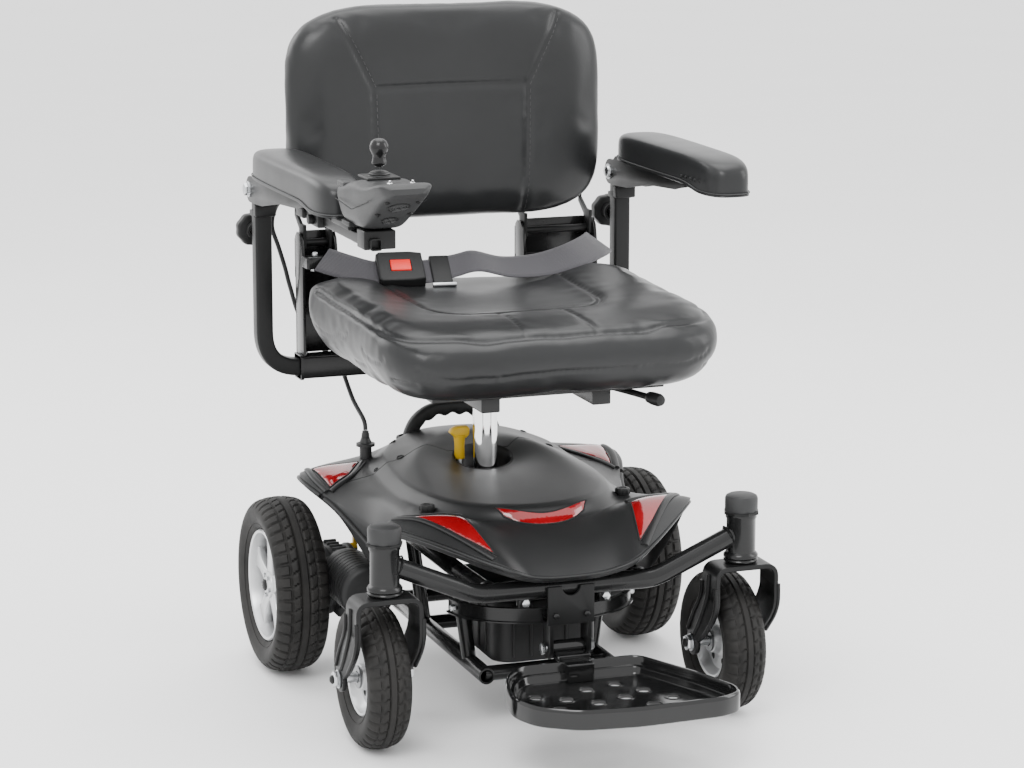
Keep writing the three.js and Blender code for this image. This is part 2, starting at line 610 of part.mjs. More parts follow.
// ---- armrests ---------------------------------------------------------------------------------
// A shape drawn as (x, z) and pulled along Y from y0 to y1.
function frontPlate(shape, y0, y1, curveSegments = 6) {
  const g = new THREE.ExtrudeGeometry(shape, { depth: y1 - y0, bevelEnabled: false, curveSegments });
  g.applyMatrix4(new THREE.Matrix4().makeBasis(
    new THREE.Vector3(1, 0, 0), new THREE.Vector3(0, 0, 1), new THREE.Vector3(0, -1, 0)));
  return g.translate(0, y1, 0);
}

function armTube(side) {
  const { x, y, size, bend } = ARM;
  const h = size / 2;
  const z = RECEIVER.z;
  const s = new THREE.Shape();
  s.moveTo(124, z - h).lineTo(x - bend, z - h);
  s.absarc(x - bend, z + bend, bend + h, -Math.PI / 2, 0, false);
  s.lineTo(x + h, ARM_PIVOT.z).lineTo(x - h, ARM_PIVOT.z).lineTo(x - h, z + bend);
  s.absarc(x - bend, z + bend, bend - h, 0, -Math.PI / 2, true).lineTo(124, z + h);
  const top = rod(h, [x - h, y, ARM_PIVOT.z], [x + h, y, ARM_PIVOT.z], 20);
  const stop = block(x - 14, x + 14, y - h - 11, y - h + 1, 594, 609.6);
  const tube = cut(join(frontPlate(s, y - h, y + h), top, stop),
    rod(4.6, [x - 20, y, ARM_PIVOT.z], [x + 20, y, ARM_PIVOT.z], 12));
  return flipped(geometryOf(tube), side);
}
addPair('arm_tube', armTube, 'frame');

function armBracket(side) {
  const { y, z } = ARM_PIVOT;
  const top = PAD.bottom - GAP;
  const s = new THREE.Shape();
  s.moveTo(20, z + 8).lineTo(y - 60, z - 14).lineTo(y, z - 17);
  s.absarc(y, z, 17, -Math.PI / 2, Math.PI / 2, false);
  s.lineTo(y - 20, top).lineTo(-10, top).lineTo(-10, top - 12);
  const plates = [sidePlate(s, ARM.x - 16, ARM.x - 12), sidePlate(s, ARM.x + 12, ARM.x + 16)];
  const web = block(ARM.x - 16, ARM.x + 16, -10, y - 20, top - 4, top);
  const bolt = rod(4, [ARM.x - 24, y, z], [ARM.x + 22, y, z], 12);
  const nut = rod(8, [ARM.x + 16, y, z], [ARM.x + 23, y, z], 6);
  return flipped(geometryOf(join(...plates, web, bolt, nut)), side);
}
addPair('arm_bracket', armBracket, 'frame');

function padPlace(u, v, w) {
  const [su, sv] = roundedSquare(u, v, 0.2);
  const { half, front, rear, bottom, deep, top } = PAD;
  const y = THREE.MathUtils.lerp(front, rear, (sv + 1) / 2);
  const edge = Math.max(Math.abs(u), Math.abs(v)) > 0.99 && w > 0.99 ? 5 : 0;
  const low = y < -60 ? deep : bottom;
  return [half * su, y, THREE.MathUtils.lerp(low, top - edge, (w + 1) / 2)];
}
addPair('arm_pad', (side) => padded(4, 8, padPlace).translate(side * ARM.x, 0, 0), 'upholstery');

addPair('arm_knob', (side) => {
  const x = side * ARM.x;
  return join(rod(5, [x, ARM.y + 11.4, 568], [x, 296, 568], 12), rod(22, [x, 290, 568], [x, 306, 568], 20));
}, 'plastic');

// ---- controller: bar, pod, joystick, button ----------------------------------------------------
add('controller_bar', block(RIDER_BAR.x - 7, RIDER_BAR.x + 7, RIDER_BAR.front, RIDER_BAR.rear,
  RIDER_BAR.z - 8, RIDER_BAR.z + 6), 'frame');

const STICK = { x: -238, y: -226, pivot: 700, ball: 738 };

function podPlace(u, v, w) {
  const [su, sv] = roundedSquare(u, v, 0.12);
  const { x, half, rear, nose, bottom, rearTop, top } = POD;
  const y = THREE.MathUtils.lerp(nose, rear, (sv + 1) / 2);
  const low = bottom + 38 * Math.max(0, -sv) ** 2;
  const high = v > 0.7 ? rearTop : top;
  return [x + half * su * (1 - 0.06 * (1 - w)), y, THREE.MathUtils.lerp(low, high, (w + 1) / 2)];
}

const BUTTON = { x: -238, y: -296, radius: 6 };
function controllerPod() {
  const bootHole = rod(16, [STICK.x, STICK.y, 690], [STICK.x, STICK.y, 720], 20);
  const [x, y] = [BUTTON.x, BUTTON.y];
  const buttonHole = rod(BUTTON.radius + GAP, [x, y, POD.top - 6], [x, y, POD.top + 6], 14);
  return cut(padded(6, 8, podPlace), bootHole, buttonHole);
}
add('controller_pod', controllerPod(), 'plastic');

function joystickBoot() {
  const ball = new THREE.SphereGeometry(15, 20, 12).rotateX(Math.PI / 2);
  return cut(ball.translate(STICK.x, STICK.y, STICK.pivot), block(-260, -210, -250, -200, 670, 702));
}
add('joystick_boot', joystickBoot(), 'rubber');
const stickProfile = [[0, STICK.pivot + 15.5], [8, STICK.pivot + 15.5], [5, 722], [5.5, 729], [9.6, 733],
  [11, 739], [9, 746], [5, 749.5], [0, 750.5]];
add('joystick_stick', turned(stickProfile, 20, STICK.x, STICK.y), 'plastic');
add('power_button', rod(BUTTON.radius, [BUTTON.x, BUTTON.y, POD.top - 4],
  [BUTTON.x, BUTTON.y, POD.top + 2], 14), 'red');

// ---- lap belt and buckle -----------------------------------------------------------------------
const BELT = { width: 44, thick: 2.4, tilt: 0.55 };
const BELT_PATH = [[-182, 206, 538], [-160, 182, 532], [-127.5, 162.7, 524.2], [-92, 157, 524.2],
  [-56.5, 151.3, 524.2], [-20, 149, 530], [8, 146, 535], [50, 146, 525], [100, 152, 524], [150, 164, 532],
  [186, 188, 538], [204, 210, 540]];

function strap(points, width, thick, tilt, steps) {
  const at3 = points.map((p) => new THREE.Vector3(...p));
  const path = new THREE.CatmullRomCurve3(at3, false, 'centripetal');
  const g = new THREE.BoxGeometry(1, width, thick, steps, 1, 1);
  const at = g.attributes.position;
  for (let i = 0; i < at.count; i += 1) {
    const t = Math.min(1, Math.max(0, at.getX(i) + 0.5));
    const c = path.getPointAt(t);
    const along = path.getTangentAt(t).setZ(0).normalize();
    const across = new THREE.Vector3(-along.y * Math.cos(tilt), along.x * Math.cos(tilt), Math.sin(tilt));
    const normal = new THREE.Vector3().crossVectors(along, across);
    c.addScaledVector(across, at.getY(i)).addScaledVector(normal, at.getZ(i));
    at.setXYZ(i, c.x, c.y, c.z);
  }
  return g;
}
add('lap_belt', strap(BELT_PATH, BELT.width, BELT.thick, BELT.tilt, 24), 'webbing');

const BUCKLE = { x: -92, y: 157, z: 524.2, turn: -0.16 };
const buckle = new THREE.Group();
buckle.position.set(BUCKLE.x, BUCKLE.y, BUCKLE.z);
buckle.rotation.set(BELT.tilt, 0, BUCKLE.turn, 'ZYX');
chair.add(buckle);
const strapSlot = block(-40, 40, -24, 24, -3.6, 3.6);
const buttonPocket = block(-14, 14, -11, 11, 5.6, 20);
add('buckle', cut(block(-30, 30, -28, 28, -8, 12), strapSlot, buttonPocket), 'plastic', buckle);
add('buckle_button', block(-13.4, 13.4, -10.4, 10.4, 8.5, 13.5), 'red', buckle);

// ---- controller cable: along the arm to the seat, then down into the rear shroud -----------------
const CABLE = { radius: 3, sides: 8 };
const CABLE_UPPER = [[-232, -150, 650], [-228, -120, 641], [-226, -60, 636], [-226, 20, 634],
  [-226, 110, 630], [-226, 190, 624], [-227, 236, 614], [-229, 262, 598], [-230, 274, 574],
  [-220, 279, 545], [-211, 283, 518], [-203, 287, 490], [-190, 289, 450], [-166, 287, 412],
  [-144, 281, 388], [-135, 275, 372]];
const CABLE_LOWER = [[-134, 273, 369], [-131, 264, 354], [-129, 250, 340], [-127, 234, 330],
  [-125.5, 218, 322], [-125, 210, 315], [-125, 208, 307.2]];

add('cable_upper', sweep(disc(CABLE.radius, CABLE.sides), CABLE_UPPER, 40), 'rubber');
add('cable_lower', sweep(disc(CABLE.radius, CABLE.sides), CABLE_LOWER, 12), 'rubber');

chair.position.y = -ORIGIN_Y;
export default chair;
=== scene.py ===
import math
import bpy
import bmesh
import numpy as np
from mathutils import Matrix, Vector, geometry, kdtree, noise
from mathutils.bvhtree import BVHTree


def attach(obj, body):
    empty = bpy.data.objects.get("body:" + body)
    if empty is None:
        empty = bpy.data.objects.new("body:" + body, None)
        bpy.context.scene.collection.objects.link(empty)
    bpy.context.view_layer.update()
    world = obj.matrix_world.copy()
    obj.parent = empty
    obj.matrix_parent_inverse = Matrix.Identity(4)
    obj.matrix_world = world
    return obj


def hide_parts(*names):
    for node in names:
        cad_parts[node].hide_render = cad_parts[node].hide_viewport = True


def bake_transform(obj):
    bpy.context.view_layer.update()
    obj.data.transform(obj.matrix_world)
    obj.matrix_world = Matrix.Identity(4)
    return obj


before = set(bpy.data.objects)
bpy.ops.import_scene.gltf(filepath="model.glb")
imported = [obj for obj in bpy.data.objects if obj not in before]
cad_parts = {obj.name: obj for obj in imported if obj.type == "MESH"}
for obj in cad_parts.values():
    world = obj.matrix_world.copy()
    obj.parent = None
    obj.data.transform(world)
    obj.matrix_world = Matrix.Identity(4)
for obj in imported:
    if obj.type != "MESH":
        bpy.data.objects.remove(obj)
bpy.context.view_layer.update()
scene = bpy.context.scene
MM = 0.001
SHIFT = 35.23            # the chair's own y origin is its rear axle line, the row's is mid-depth


def at(x, y, z):
    return Vector((x * MM, (y + SHIFT) * MM, z * MM))


def linked(name, data):
    """A new object in the scene."""
    ob = bpy.data.objects.new(name, data)
    scene.collection.objects.link(ob)
    return ob


def evaluated_mesh(ob):
    """The mesh that an object's modifiers give."""
    return bpy.data.meshes.new_from_object(ob.evaluated_get(bpy.context.evaluated_depsgraph_get()))


# ---- camera, floor and light ---------------------------------------------------------------------
def look_at(ob, target):
    ob.rotation_euler = (Vector(target) - ob.location).to_track_quat("-Z", "Y").to_euler()


camera = linked("camera", bpy.data.cameras.new("camera"))
camera.location = (-1.2709, -3.5168, 1.1944)
look_at(camera, (-0.00756, 0.03523, 0.450))
camera.data.lens = 107.51
camera.data.shift_x = 0.0093
camera.data.shift_y = -0.0366
scene.camera = camera

world = bpy.data.worlds.new("studio")
world.use_nodes = True
world.node_tree.nodes["Background"].inputs["Color"].default_value = (1.0, 1.0, 1.0, 1)
world.node_tree.nodes["Background"].inputs["Strength"].default_value = 2.1
scene.world = world


def area_light(name, place, target, size, power, size_y=None):
    lamp = bpy.data.lights.new(name, "AREA")
    lamp.shape = "RECTANGLE"
    lamp.size = size
    lamp.size_y = size_y or size
    lamp.energy = power
    ob = linked(name, lamp)
    ob.location = place
    look_at(ob, target)


area_light("key", (-1.6, -2.4, 3.2), (0, 0, 0.5), 1.8, 105)
area_light("side", (2.9, -1.2, 1.7), (0, 0, 0.5), 1.2, 44, 2.2)
area_light("top", (0.1, 0.5, 3.4), (0, 0, 0.4), 2.6, 80)
area_light("back", (-1.8, 2.6, 1.8), (0, 0, 0.5), 1.5, 26)


# ---- materials -----------------------------------------------------------------------------------
def new_material(name):
    mat = bpy.data.materials.new(name)
    mat.use_nodes = True
    nodes = mat.node_tree.nodes
    return mat, nodes, mat.node_tree.links, nodes["Principled BSDF"]


def surface(name, dark, light, rough, metal=0.0, patch=9.0, grain=700.0, bump=0.08, depth=0.0004,
            coat=0.0, sheen=0.0, pebble=False, specular=0.34):
    """A material whose colour and roughness drift over the surface, with a fine grain in relief."""
    mat, nodes, links, bsdf = new_material(name)
    where = nodes.new("ShaderNodeTexCoord")
    cloud = nodes.new("ShaderNodeTexNoise")
    cloud.inputs["Scale"].default_value = patch
    cloud.inputs["Detail"].default_value = 5.0
    links.new(where.outputs["Object"], cloud.inputs["Vector"])
    ramp = nodes.new("ShaderNodeValToRGB")
    ramp.color_ramp.elements[0].position = 0.3
    ramp.color_ramp.elements[1].position = 0.7
    ramp.color_ramp.elements[0].color = (*dark, 1)
    ramp.color_ramp.elements[1].color = (*light, 1)
    links.new(cloud.outputs["Fac"], ramp.inputs["Fac"])
    links.new(ramp.outputs["Color"], bsdf.inputs["Base Color"])
    smear = nodes.new("ShaderNodeTexNoise")
    smear.inputs["Scale"].default_value = patch * 3.1
    smear.inputs["Detail"].default_value = 4.0
    links.new(where.outputs["Object"], smear.inputs["Vector"])
    spread = nodes.new("ShaderNodeMapRange")
    spread.inputs["To Min"].default_value = rough[0]
    spread.inputs["To Max"].default_value = rough[1]
    links.new(smear.outputs["Fac"], spread.inputs["Value"])
    links.new(spread.outputs["Result"], bsdf.inputs["Roughness"])
    if pebble:
        relief = nodes.new("ShaderNodeTexVoronoi")
        relief.feature = "SMOOTH_F1"
        height = relief.outputs["Distance"]
    else:
        relief = nodes.new("ShaderNodeTexNoise")
        relief.inputs["Detail"].default_value = 3.0
        height = relief.outputs["Fac"]
    relief.inputs["Scale"].default_value = grain
    links.new(where.outputs["Object"], relief.inputs["Vector"])
    bumped = nodes.new("ShaderNodeBump")
    bumped.inputs["Strength"].default_value = bump
    bumped.inputs["Distance"].default_value = depth
    links.new(height, bumped.inputs["Height"])
    links.new(bumped.outputs["Normal"], bsdf.inputs["Normal"])
    bsdf.inputs["Metallic"].default_value = metal
    bsdf.inputs["Coat Weight"].default_value = coat
    bsdf.inputs["Coat Roughness"].default_value = 0.12
    bsdf.inputs["Sheen Weight"].default_value = sheen
    bsdf.inputs["Specular IOR Level"].default_value = specular
    return mat


def grey(v, tint=1.04):
    return (v, v * (1 + tint) / 2, v * tint)


MAT = {
    "gloss_black": surface("gloss_black", grey(0.005), grey(0.008), (0.2, 0.32), coat=0.2, bump=0.05,
                           specular=0.2),
    "tray_black": surface("tray_black", grey(0.004), grey(0.006), (0.1, 0.18), coat=0.4, specular=0.2,
                          bump=0.06, grain=260),
    "satin_black": surface("satin_black", grey(0.005), grey(0.008), (0.32, 0.44), bump=0.16, grain=900,
                           specular=0.2),
    "plastic_black": surface("plastic_black", grey(0.007), grey(0.011), (0.38, 0.5), bump=0.25, grain=1300,
                             specular=0.22),
    "pod_plastic": surface("pod_plastic", grey(0.020), grey(0.027), (0.38, 0.5), bump=0.3, grain=1500,
                           specular=0.26),
    "shroud": surface("shroud", grey(0.013), grey(0.018), (0.32, 0.42), bump=0.22, grain=1500, patch=4,
                      specular=0.3),
    # groove: a dark matt colour for joints and seam lines; the same colour also fills the caster rim holes
    # and the arm pad vents as painted shade
    "groove": surface("groove", grey(0.004), grey(0.008), (0.6, 0.8)),
    "cap_plastic": surface("cap_plastic", grey(0.020), grey(0.027), (0.42, 0.55), bump=0.25, grain=1200,
                           specular=0.26),
    "tyre": surface("tyre", (0.008, 0.0078, 0.0075), (0.018, 0.017, 0.016), (0.55, 0.72), bump=0.3,
                    grain=420, patch=26, specular=0.2),
    "soft_rubber": surface("soft_rubber", grey(0.012), grey(0.02), (0.42, 0.56), bump=0.1),
    "rim_silver": surface("rim_silver", grey(0.5, 1.02), grey(0.6, 1.02), (0.28, 0.4), metal=0.75, bump=0.1,
                          grain=500),
    "cast_metal": surface("cast_metal", grey(0.035), grey(0.06), (0.5, 0.65), metal=0.3, bump=0.5,
                          grain=320),
    "zinc": surface("zinc", grey(0.45), grey(0.6), (0.2, 0.36), metal=1.0, bump=0.12, grain=300),
    "chrome": surface("chrome", grey(0.8, 1.01), grey(0.86, 1.01), (0.03, 0.08), metal=1.0, bump=0.02,
                      grain=60),
    "leatherette": surface("leatherette", grey(0.009, 1.08), grey(0.013, 1.08), (0.28, 0.38), bump=0.12,
                           grain=900, depth=0.0003, patch=7, pebble=True, specular=0.3),
    "thread": surface("thread", grey(0.02), grey(0.045), (0.5, 0.7), grain=1800, bump=0.4),
    "yellow": surface("yellow", (0.56, 0.34, 0.008), (0.68, 0.42, 0.014), (0.32, 0.46), bump=0.12,
                      grain=500),
    "red_plastic": surface("red_plastic", (0.55, 0.010, 0.006), (0.66, 0.016, 0.009), (0.3, 0.42),
                           bump=0.06),
    "pale_steel": surface("pale_steel", grey(0.2), grey(0.28), (0.25, 0.4), metal=1.0, bump=0.1),
}


def lens_material():
    """Red reflector plastic: a clear skin over a bed of small prisms."""
    mat = surface("red_lens", (0.17, 0.002, 0.004), (0.27, 0.004, 0.008), (0.08, 0.18), coat=1.0, patch=16,
                  bump=0.35, depth=0.0006, grain=170, pebble=True)
    mat.node_tree.nodes["Principled BSDF"].inputs["Coat Roughness"].default_value = 0.03
    return mat


def webbing_material():
    """Woven strap: ribs along its length crossed by finer ones, from the strap's own width and length."""
    mat, nodes, links, bsdf = new_material("webbing")
    uv = nodes.new("ShaderNodeUVMap")
    uv.uv_map = "along"
    heights = []
    for direction, scale in (("Y", 6.4), ("X", 110.0)):
        wave = nodes.new("ShaderNodeTexWave")
        wave.bands_direction = direction
        wave.inputs["Scale"].default_value = scale
        wave.inputs["Distortion"].default_value = 0.4
        links.new(uv.outputs["UV"], wave.inputs["Vector"])
        heights.append(wave.outputs["Fac"])
    both = nodes.new("ShaderNodeMath")
    both.operation = "MULTIPLY"
    links.new(heights[0], both.inputs[0])
    links.new(heights[1], both.inputs[1])
    # The colour follows the weave's relief, darker in its low parts between the ribs: painted shade in the
    # weave.
    ramp = nodes.new("ShaderNodeValToRGB")
    ramp.color_ramp.elements[0].color = (0.012, 0.011, 0.015, 1)
    ramp.color_ramp.elements[1].color = (0.040, 0.036, 0.046, 1)
    links.new(both.outputs[0], ramp.inputs["Fac"])
    links.new(ramp.outputs["Color"], bsdf.inputs["Base Color"])
    bumped = nodes.new("ShaderNodeBump")
    bumped.inputs["Strength"].default_value = 0.6
    bumped.inputs["Distance"].default_value = 0.0006
    links.new(both.outputs[0], bumped.inputs["Height"])
    links.new(bumped.outputs["Normal"], bsdf.inputs["Normal"])
    bsdf.inputs["Roughness"].default_value = 0.62
    bsdf.inputs["Sheen Weight"].default_value = 0.25
    return mat


MAT["red_lens"] = lens_material()
MAT["webbing"] = webbing_material()


# ---- shape kit: everything in millimetres, merged into one mesh per piece ------------------------
def smooth_path(points, step=4.0, closed=False):
    """A Catmull-Rom line through the points, sampled about every step millimetres."""
    p = [np.array(q, float) for q in points]
    n = len(p)
    spans = n if closed else n - 1
    out = []
    for i in range(spans):
        if closed:
            a, b, c, d = p[i - 1], p[i], p[(i + 1) % n], p[(i + 2) % n]
        else:
            b, c = p[i], p[i + 1]
            a = p[i - 1] if i else 2 * b - c
            d = p[i + 2] if i + 2 < n else 2 * c - b
        count = max(1, int(np.linalg.norm(c - b) / step))
        for k in range(count):
            t = k / count
            out.append(0.5 * (2 * b + (c - a) * t + (2 * a - 5 * b + 4 * c - d) * t * t
                              + (3 * b - a - 3 * c + d) * t ** 3))
    if not closed:
        out.append(p[-1])
    return out


def rounded_corners(points, radius, steps=6):
    """A polyline with each inner corner swept round at that radius."""
    p = [np.array(q, float) for q in points]
    out = [p[0]]
    for a, b, c in zip(p, p[1:], p[2:]):
        u = (a - b) / np.linalg.norm(a - b)
        v = (c - b) / np.linalg.norm(c - b)
        half = math.acos(max(-1, min(1, float(u @ v)))) / 2
        back = min(radius / math.tan(half), 0.48 * np.linalg.norm(a - b), 0.48 * np.linalg.norm(c - b))
        for k in range(steps + 1):
            t = k / steps
            out.append((1 - t) ** 2 * (b + u * back) + 2 * t * (1 - t) * b + t * t * (b + v * back))
    out.append(p[-1])
    return out


class Shape:
    def __init__(self):
        self.bm = bmesh.new()

    def merge(self, part, slot=0, matrix=None):
        if matrix is not None:
            part.transform(matrix)
        for f in part.faces:
            f.material_index = slot
        me = bpy.data.meshes.new("part")
        part.to_mesh(me)
        part.free()
        self.bm.from_mesh(me)
        bpy.data.meshes.remove(me)
        return self

    def block(self, x0, x1, y0, y1, z0, z1, r=1.5, slot=0, matrix=None, segments=3):
        part = bmesh.new()
        bmesh.ops.create_cube(part, size=1.0)
        size = Matrix.Diagonal((x1 - x0, y1 - y0, z1 - z0, 1))
        part.transform(Matrix.Translation(((x0 + x1) / 2, (y0 + y1) / 2, (z0 + z1) / 2)) @ size)
        if r:
            bmesh.ops.bevel(part, geom=part.edges[:], offset=r, segments=segments, affect="EDGES",
                            profile=0.5, clamp_overlap=True)
        return self.merge(part, slot, matrix)

    def grid(self, rows, closed=True, caps=True, slot=0, matrix=None):
        """Joins rows of points, each a ring of the same count, into a skin."""
        part = bmesh.new()
        made = [[part.verts.new(tuple(q)) for q in row] for row in rows]
        n = len(made[0])
        for a, b in zip(made, made[1:]):
            for i in range(n if closed else n - 1):
                part.faces.new((a[i], a[(i + 1) % n], b[(i + 1) % n], b[i]))
        if caps:
            part.faces.new(made[0][::-1])
            part.faces.new(made[-1])
        bmesh.ops.recalc_face_normals(part, faces=part.faces[:])
        return self.merge(part, slot, matrix)

    def lathe(self, profile, origin=(0, 0, 0), axis=(0, 0, 1), sides=48, slot=0, loop=False):
        """Turns (radius, height) points about the axis; loop closes the profile on itself."""
        turn = Vector((0, 0, 1)).rotation_difference(Vector(axis)).to_matrix().to_4x4()
        rows = []
        pts = list(profile) + ([profile[0]] if loop else [])
        for r, h in pts:
            rows.append([(max(r, 0.01) * math.cos(2 * math.pi * i / sides),
                          max(r, 0.01) * math.sin(2 * math.pi * i / sides), h) for i in range(sides)])
        part = bmesh.new()
        made = [[part.verts.new(q) for q in row] for row in (rows[:-1] if loop else rows)]
        if loop:
            made.append(made[0])
        for a, b in zip(made, made[1:]):
            for i in range(sides):
                part.faces.new((a[i], a[(i + 1) % sides], b[(i + 1) % sides], b[i]))
        if not loop:
            part.faces.new(made[0][::-1])
            part.faces.new(made[-1])
        bmesh.ops.recalc_face_normals(part, faces=part.faces[:])
        return self.merge(part, slot, Matrix.Translation(origin) @ turn)

    def rod(self, a, b, r, r2=None, edge=0.8, sides=32, slot=0, bore=0.0):
        a, b = Vector(a), Vector(b)
        r2 = r if r2 is None else r2
        h = (b - a).length
        e = min(edge, h / 3, r / 3, r2 / 3)
        profile = [(r - e, 0), (r - e * 0.3, e * 0.3), (r, e), (r2, h - e), (r2 - e * 0.3, h - e * 0.3),
                   (r2 - e, h)]
        if bore:
            profile = [(bore, 0.0)] + profile + [(bore, h)]
        else:
            profile = [(0, 0)] + profile + [(0, h)]
        return self.lathe(profile, a, (b - a).normalized(), sides, slot, loop=bool(bore))

    def hexagon(self, a, b, r, slot=0):
        return self.rod(a, b, r, sides=6, edge=0.6, slot=slot)

    def sweep(self, points, section, slot=0, twist=None, closed=False):
        """Carries a section of (side, up) points along a line; up stays as near +Z as the line lets it."""
        pts = [Vector(p) for p in points]
        n = len(pts)
        rows = []
        normal = None
        for i, p in enumerate(pts):
            if closed:
                along = (pts[(i + 1) % n] - pts[i - 1]).normalized()
            else:
                along = (pts[min(i + 1, n - 1)] - pts[max(i - 1, 0)]).normalized()
            if normal is None:
                guess = Vector((0, 0, 1)) if abs(along.z) < 0.9 else Vector((0, 1, 0))
                normal = (guess - along * guess.dot(along)).normalized()
            else:
                normal = (normal - along * normal.dot(along)).normalized()
            side = along.cross(normal)
            rows.append([p + side * u + normal * v for u, v in section])
        if closed:
            rows.append(rows[0])
        return self.grid(rows, caps=not closed, slot=slot)

    def tube(self, points, r, sides=20, slot=0, closed=False):
        ring = [(r * math.cos(2 * math.pi * i / sides), r * math.sin(2 * math.pi * i / sides))
                for i in range(sides)]
        return self.sweep(points, ring, slot, closed=closed)

    def prism(self, outline, to_space, lo, hi, r=0.8, slot=0, segments=2):
        """Pulls a flat outline from lo to hi; to_space maps (u, v, depth) to (x, y, z)."""
        part = bmesh.new()
        low = [part.verts.new(to_space(u, v, lo)) for u, v in outline]
        high = [part.verts.new(to_space(u, v, hi)) for u, v in outline]
        n = len(outline)
        faces = [part.faces.new(low[::-1]), part.faces.new(high)]
        for i in range(n):
            part.faces.new((low[i], low[(i + 1) % n], high[(i + 1) % n], high[i]))
        bmesh.ops.recalc_face_normals(part, faces=part.faces[:])
        if r:
            rim = [e for f in faces for e in f.edges]
            bmesh.ops.bevel(part, geom=rim, offset=r, segments=segments, affect="EDGES", profile=0.5,
                            clamp_overlap=True)
        return self.merge(part, slot)

    def mesh(self, name):
        me = bpy.data.meshes.new(name)
        self.bm.transform(Matrix.Translation((0, SHIFT * MM, 0)) @ Matrix.Scale(MM, 4))
        self.bm.to_mesh(me)
        self.bm.free()
        return me


def on_x(u, v, d):
    return (d, u, v)


def on_y(u, v, d):
    return (u, d, v)


def on_z(u, v, d):
    return (u, v, d)


def finish_mesh(me, materials, angle=38):
    for m in materials:
        me.materials.append(MAT[m])
    me.polygons.foreach_set("use_smooth", [True] * len(me.polygons))
    me.set_sharp_from_angle(angle=math.radians(angle))
    me.update()


def piece(name, shape, body, materials, slot, *nodes, angle=38):
    me = shape if isinstance(shape, bpy.types.Mesh) else shape.mesh(name)
    finish_mesh(me, materials, angle)
    ob = linked(name, me)
    if body:
        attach(ob, body)
    if nodes:
        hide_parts(*nodes)
    return ob


def cut(me, cutter, operation):
    """What an exact boolean leaves of a mesh."""
    ob = linked("cut", me)
    tool = linked("cutter", cutter)
    mod = ob.modifiers.new("cut", "BOOLEAN")
    mod.operation = operation
    mod.solver = "EXACT"
    mod.object = tool
    out = evaluated_mesh(ob)
    bpy.data.objects.remove(ob)
    bpy.data.objects.remove(tool)
    return out


def both_sides(half):
    """A line led in by its mirror image; a point on the middle plane isn't repeated."""
    return [(-x, *rest) for x, *rest in half[::-1] if x] + half


SIDES = (("r", -1), ("l", 1))

# ---- the controller's cable, in two runs ---------------------------------------------------------
CABLE_R = 3.0
CABLE_UPPER = [(-232, -150, 650), (-228, -120, 641), (-226, -60, 636), (-226, 20, 634), (-226, 110, 630),
               (-226, 190, 624), (-227, 236, 614), (-229, 262, 598), (-230, 274, 574), (-220, 279, 545),
               (-211, 283, 518), (-203, 287, 490), (-190, 289, 450), (-166, 287, 412), (-144, 281, 388),
               (-135, 275, 372)]
CABLE_LOWER = [(-134, 273, 369), (-131, 264, 354), (-129, 250, 340), (-127, 234, 330), (-125.5, 218, 322),
               (-125, 210, 315), (-125, 208, 307.2)]


def cable(name, points, node):
    line = smooth_path(points, 3.0)
    shape = Shape().tube(line, CABLE_R, 16)
    ob = piece(name, shape, None, ["soft_rubber"], "soft_rubber", node)
    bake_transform(ob)


cable("cable_upper_run", CABLE_UPPER,
      "cable_upper")
plug = Shape()
plug.lathe([(0, 262), (8, 262), (8, 290), (7.4, 293), (6.2, 295), (6.0, 297), (5.2, 297.6), (5.6, 299),
            (5.0, 300.6), (5.3, 302), (4.6, 303.6), (4.2, 306), (0, 306)], (-125, 208, 0), sides=32)
plug.lathe([(8.2, 285), (12.5, 286), (12.5, 289.5), (8.2, 290.5)], (-125, 208, 0), sides=32, loop=True)
piece("cable_strain_relief", plug, "base", ["soft_rubber"], "dark_plastic", "cable_plug")
cable("cable_lower_run", CABLE_LOWER, "cable_lower")

# ---- wheels --------------------------------------------------------------------------------------
DRIVE = (245, 190, 114.5)
CASTER = (230, -157, 89)
STEM_Y = -209


def treaded_tyre(radius, width, rim, pitches, depth, centre, body, name, node):
    """A tyre whose tread is cut in relief: a centre rib, two slanted rows of blocks, and shoulder blocks."""
    h = width / 2
    half = [(rim + 0.6, -0.58 * h), (rim + 4, -0.78 * h), ((rim + radius) / 2, -0.99 * h),
            (radius - 11, -0.93 * h), (radius - 4, -0.7 * h), (radius - 0.8, -0.34 * h), (radius, 0)]
    line = smooth_path(half + [(r, -x) for r, x in half[-2::-1]], 1.5)
    segments = pitches * 8
    x0, y0, z0 = centre
    rows = []
    for r, x in line:
        u = abs(x) / h
        lean = 1 if x > 0 else -1
        ring = []
        for j in range(segments):
            groove = 0.0
            if r > radius - 13:
                for mid, wide in ((0.15, 0.05), (0.5, 0.06)):
                    groove = max(groove, 1 - ((u - mid) / wide) ** 2)
                slant = (j + lean * int(10 * u)) % 8
                if 0.18 < u < 0.48 and slant == 0:
                    groove = 1.0
                if u >= 0.54 and (j + 4) % 8 in (0, 1):
                    groove = max(groove, min(1.0, (r - radius + 13) / 4))
                if u < 0.12:
                    groove = 0.0
            reach = r - depth * max(0.0, groove)
            a = 2 * math.pi * j / segments
            ring.append((x0 + x, y0 + reach * math.cos(a), z0 + reach * math.sin(a)))
        rows.append(ring)
    inner = [(x0 + line[-1][1], y0 + (rim + 0.5) * math.cos(2 * math.pi * j / segments),
              z0 + (rim + 0.5) * math.sin(2 * math.pi * j / segments)) for j in range(segments)]
    shape = Shape().grid(rows + [inner, rows[0]], caps=False)
    for rib_x in (-0.86 * h, 0.86 * h):
        shape.lathe([(rim + 9, -0.7), (rim + 10, 0), (rim + 9, 0.7)], (x0 + rib_x, y0, z0), (1, 0, 0), 96,
                    loop=True)
    piece(name, shape, body, ["tyre"], "tyre_rubber", node, angle=50)


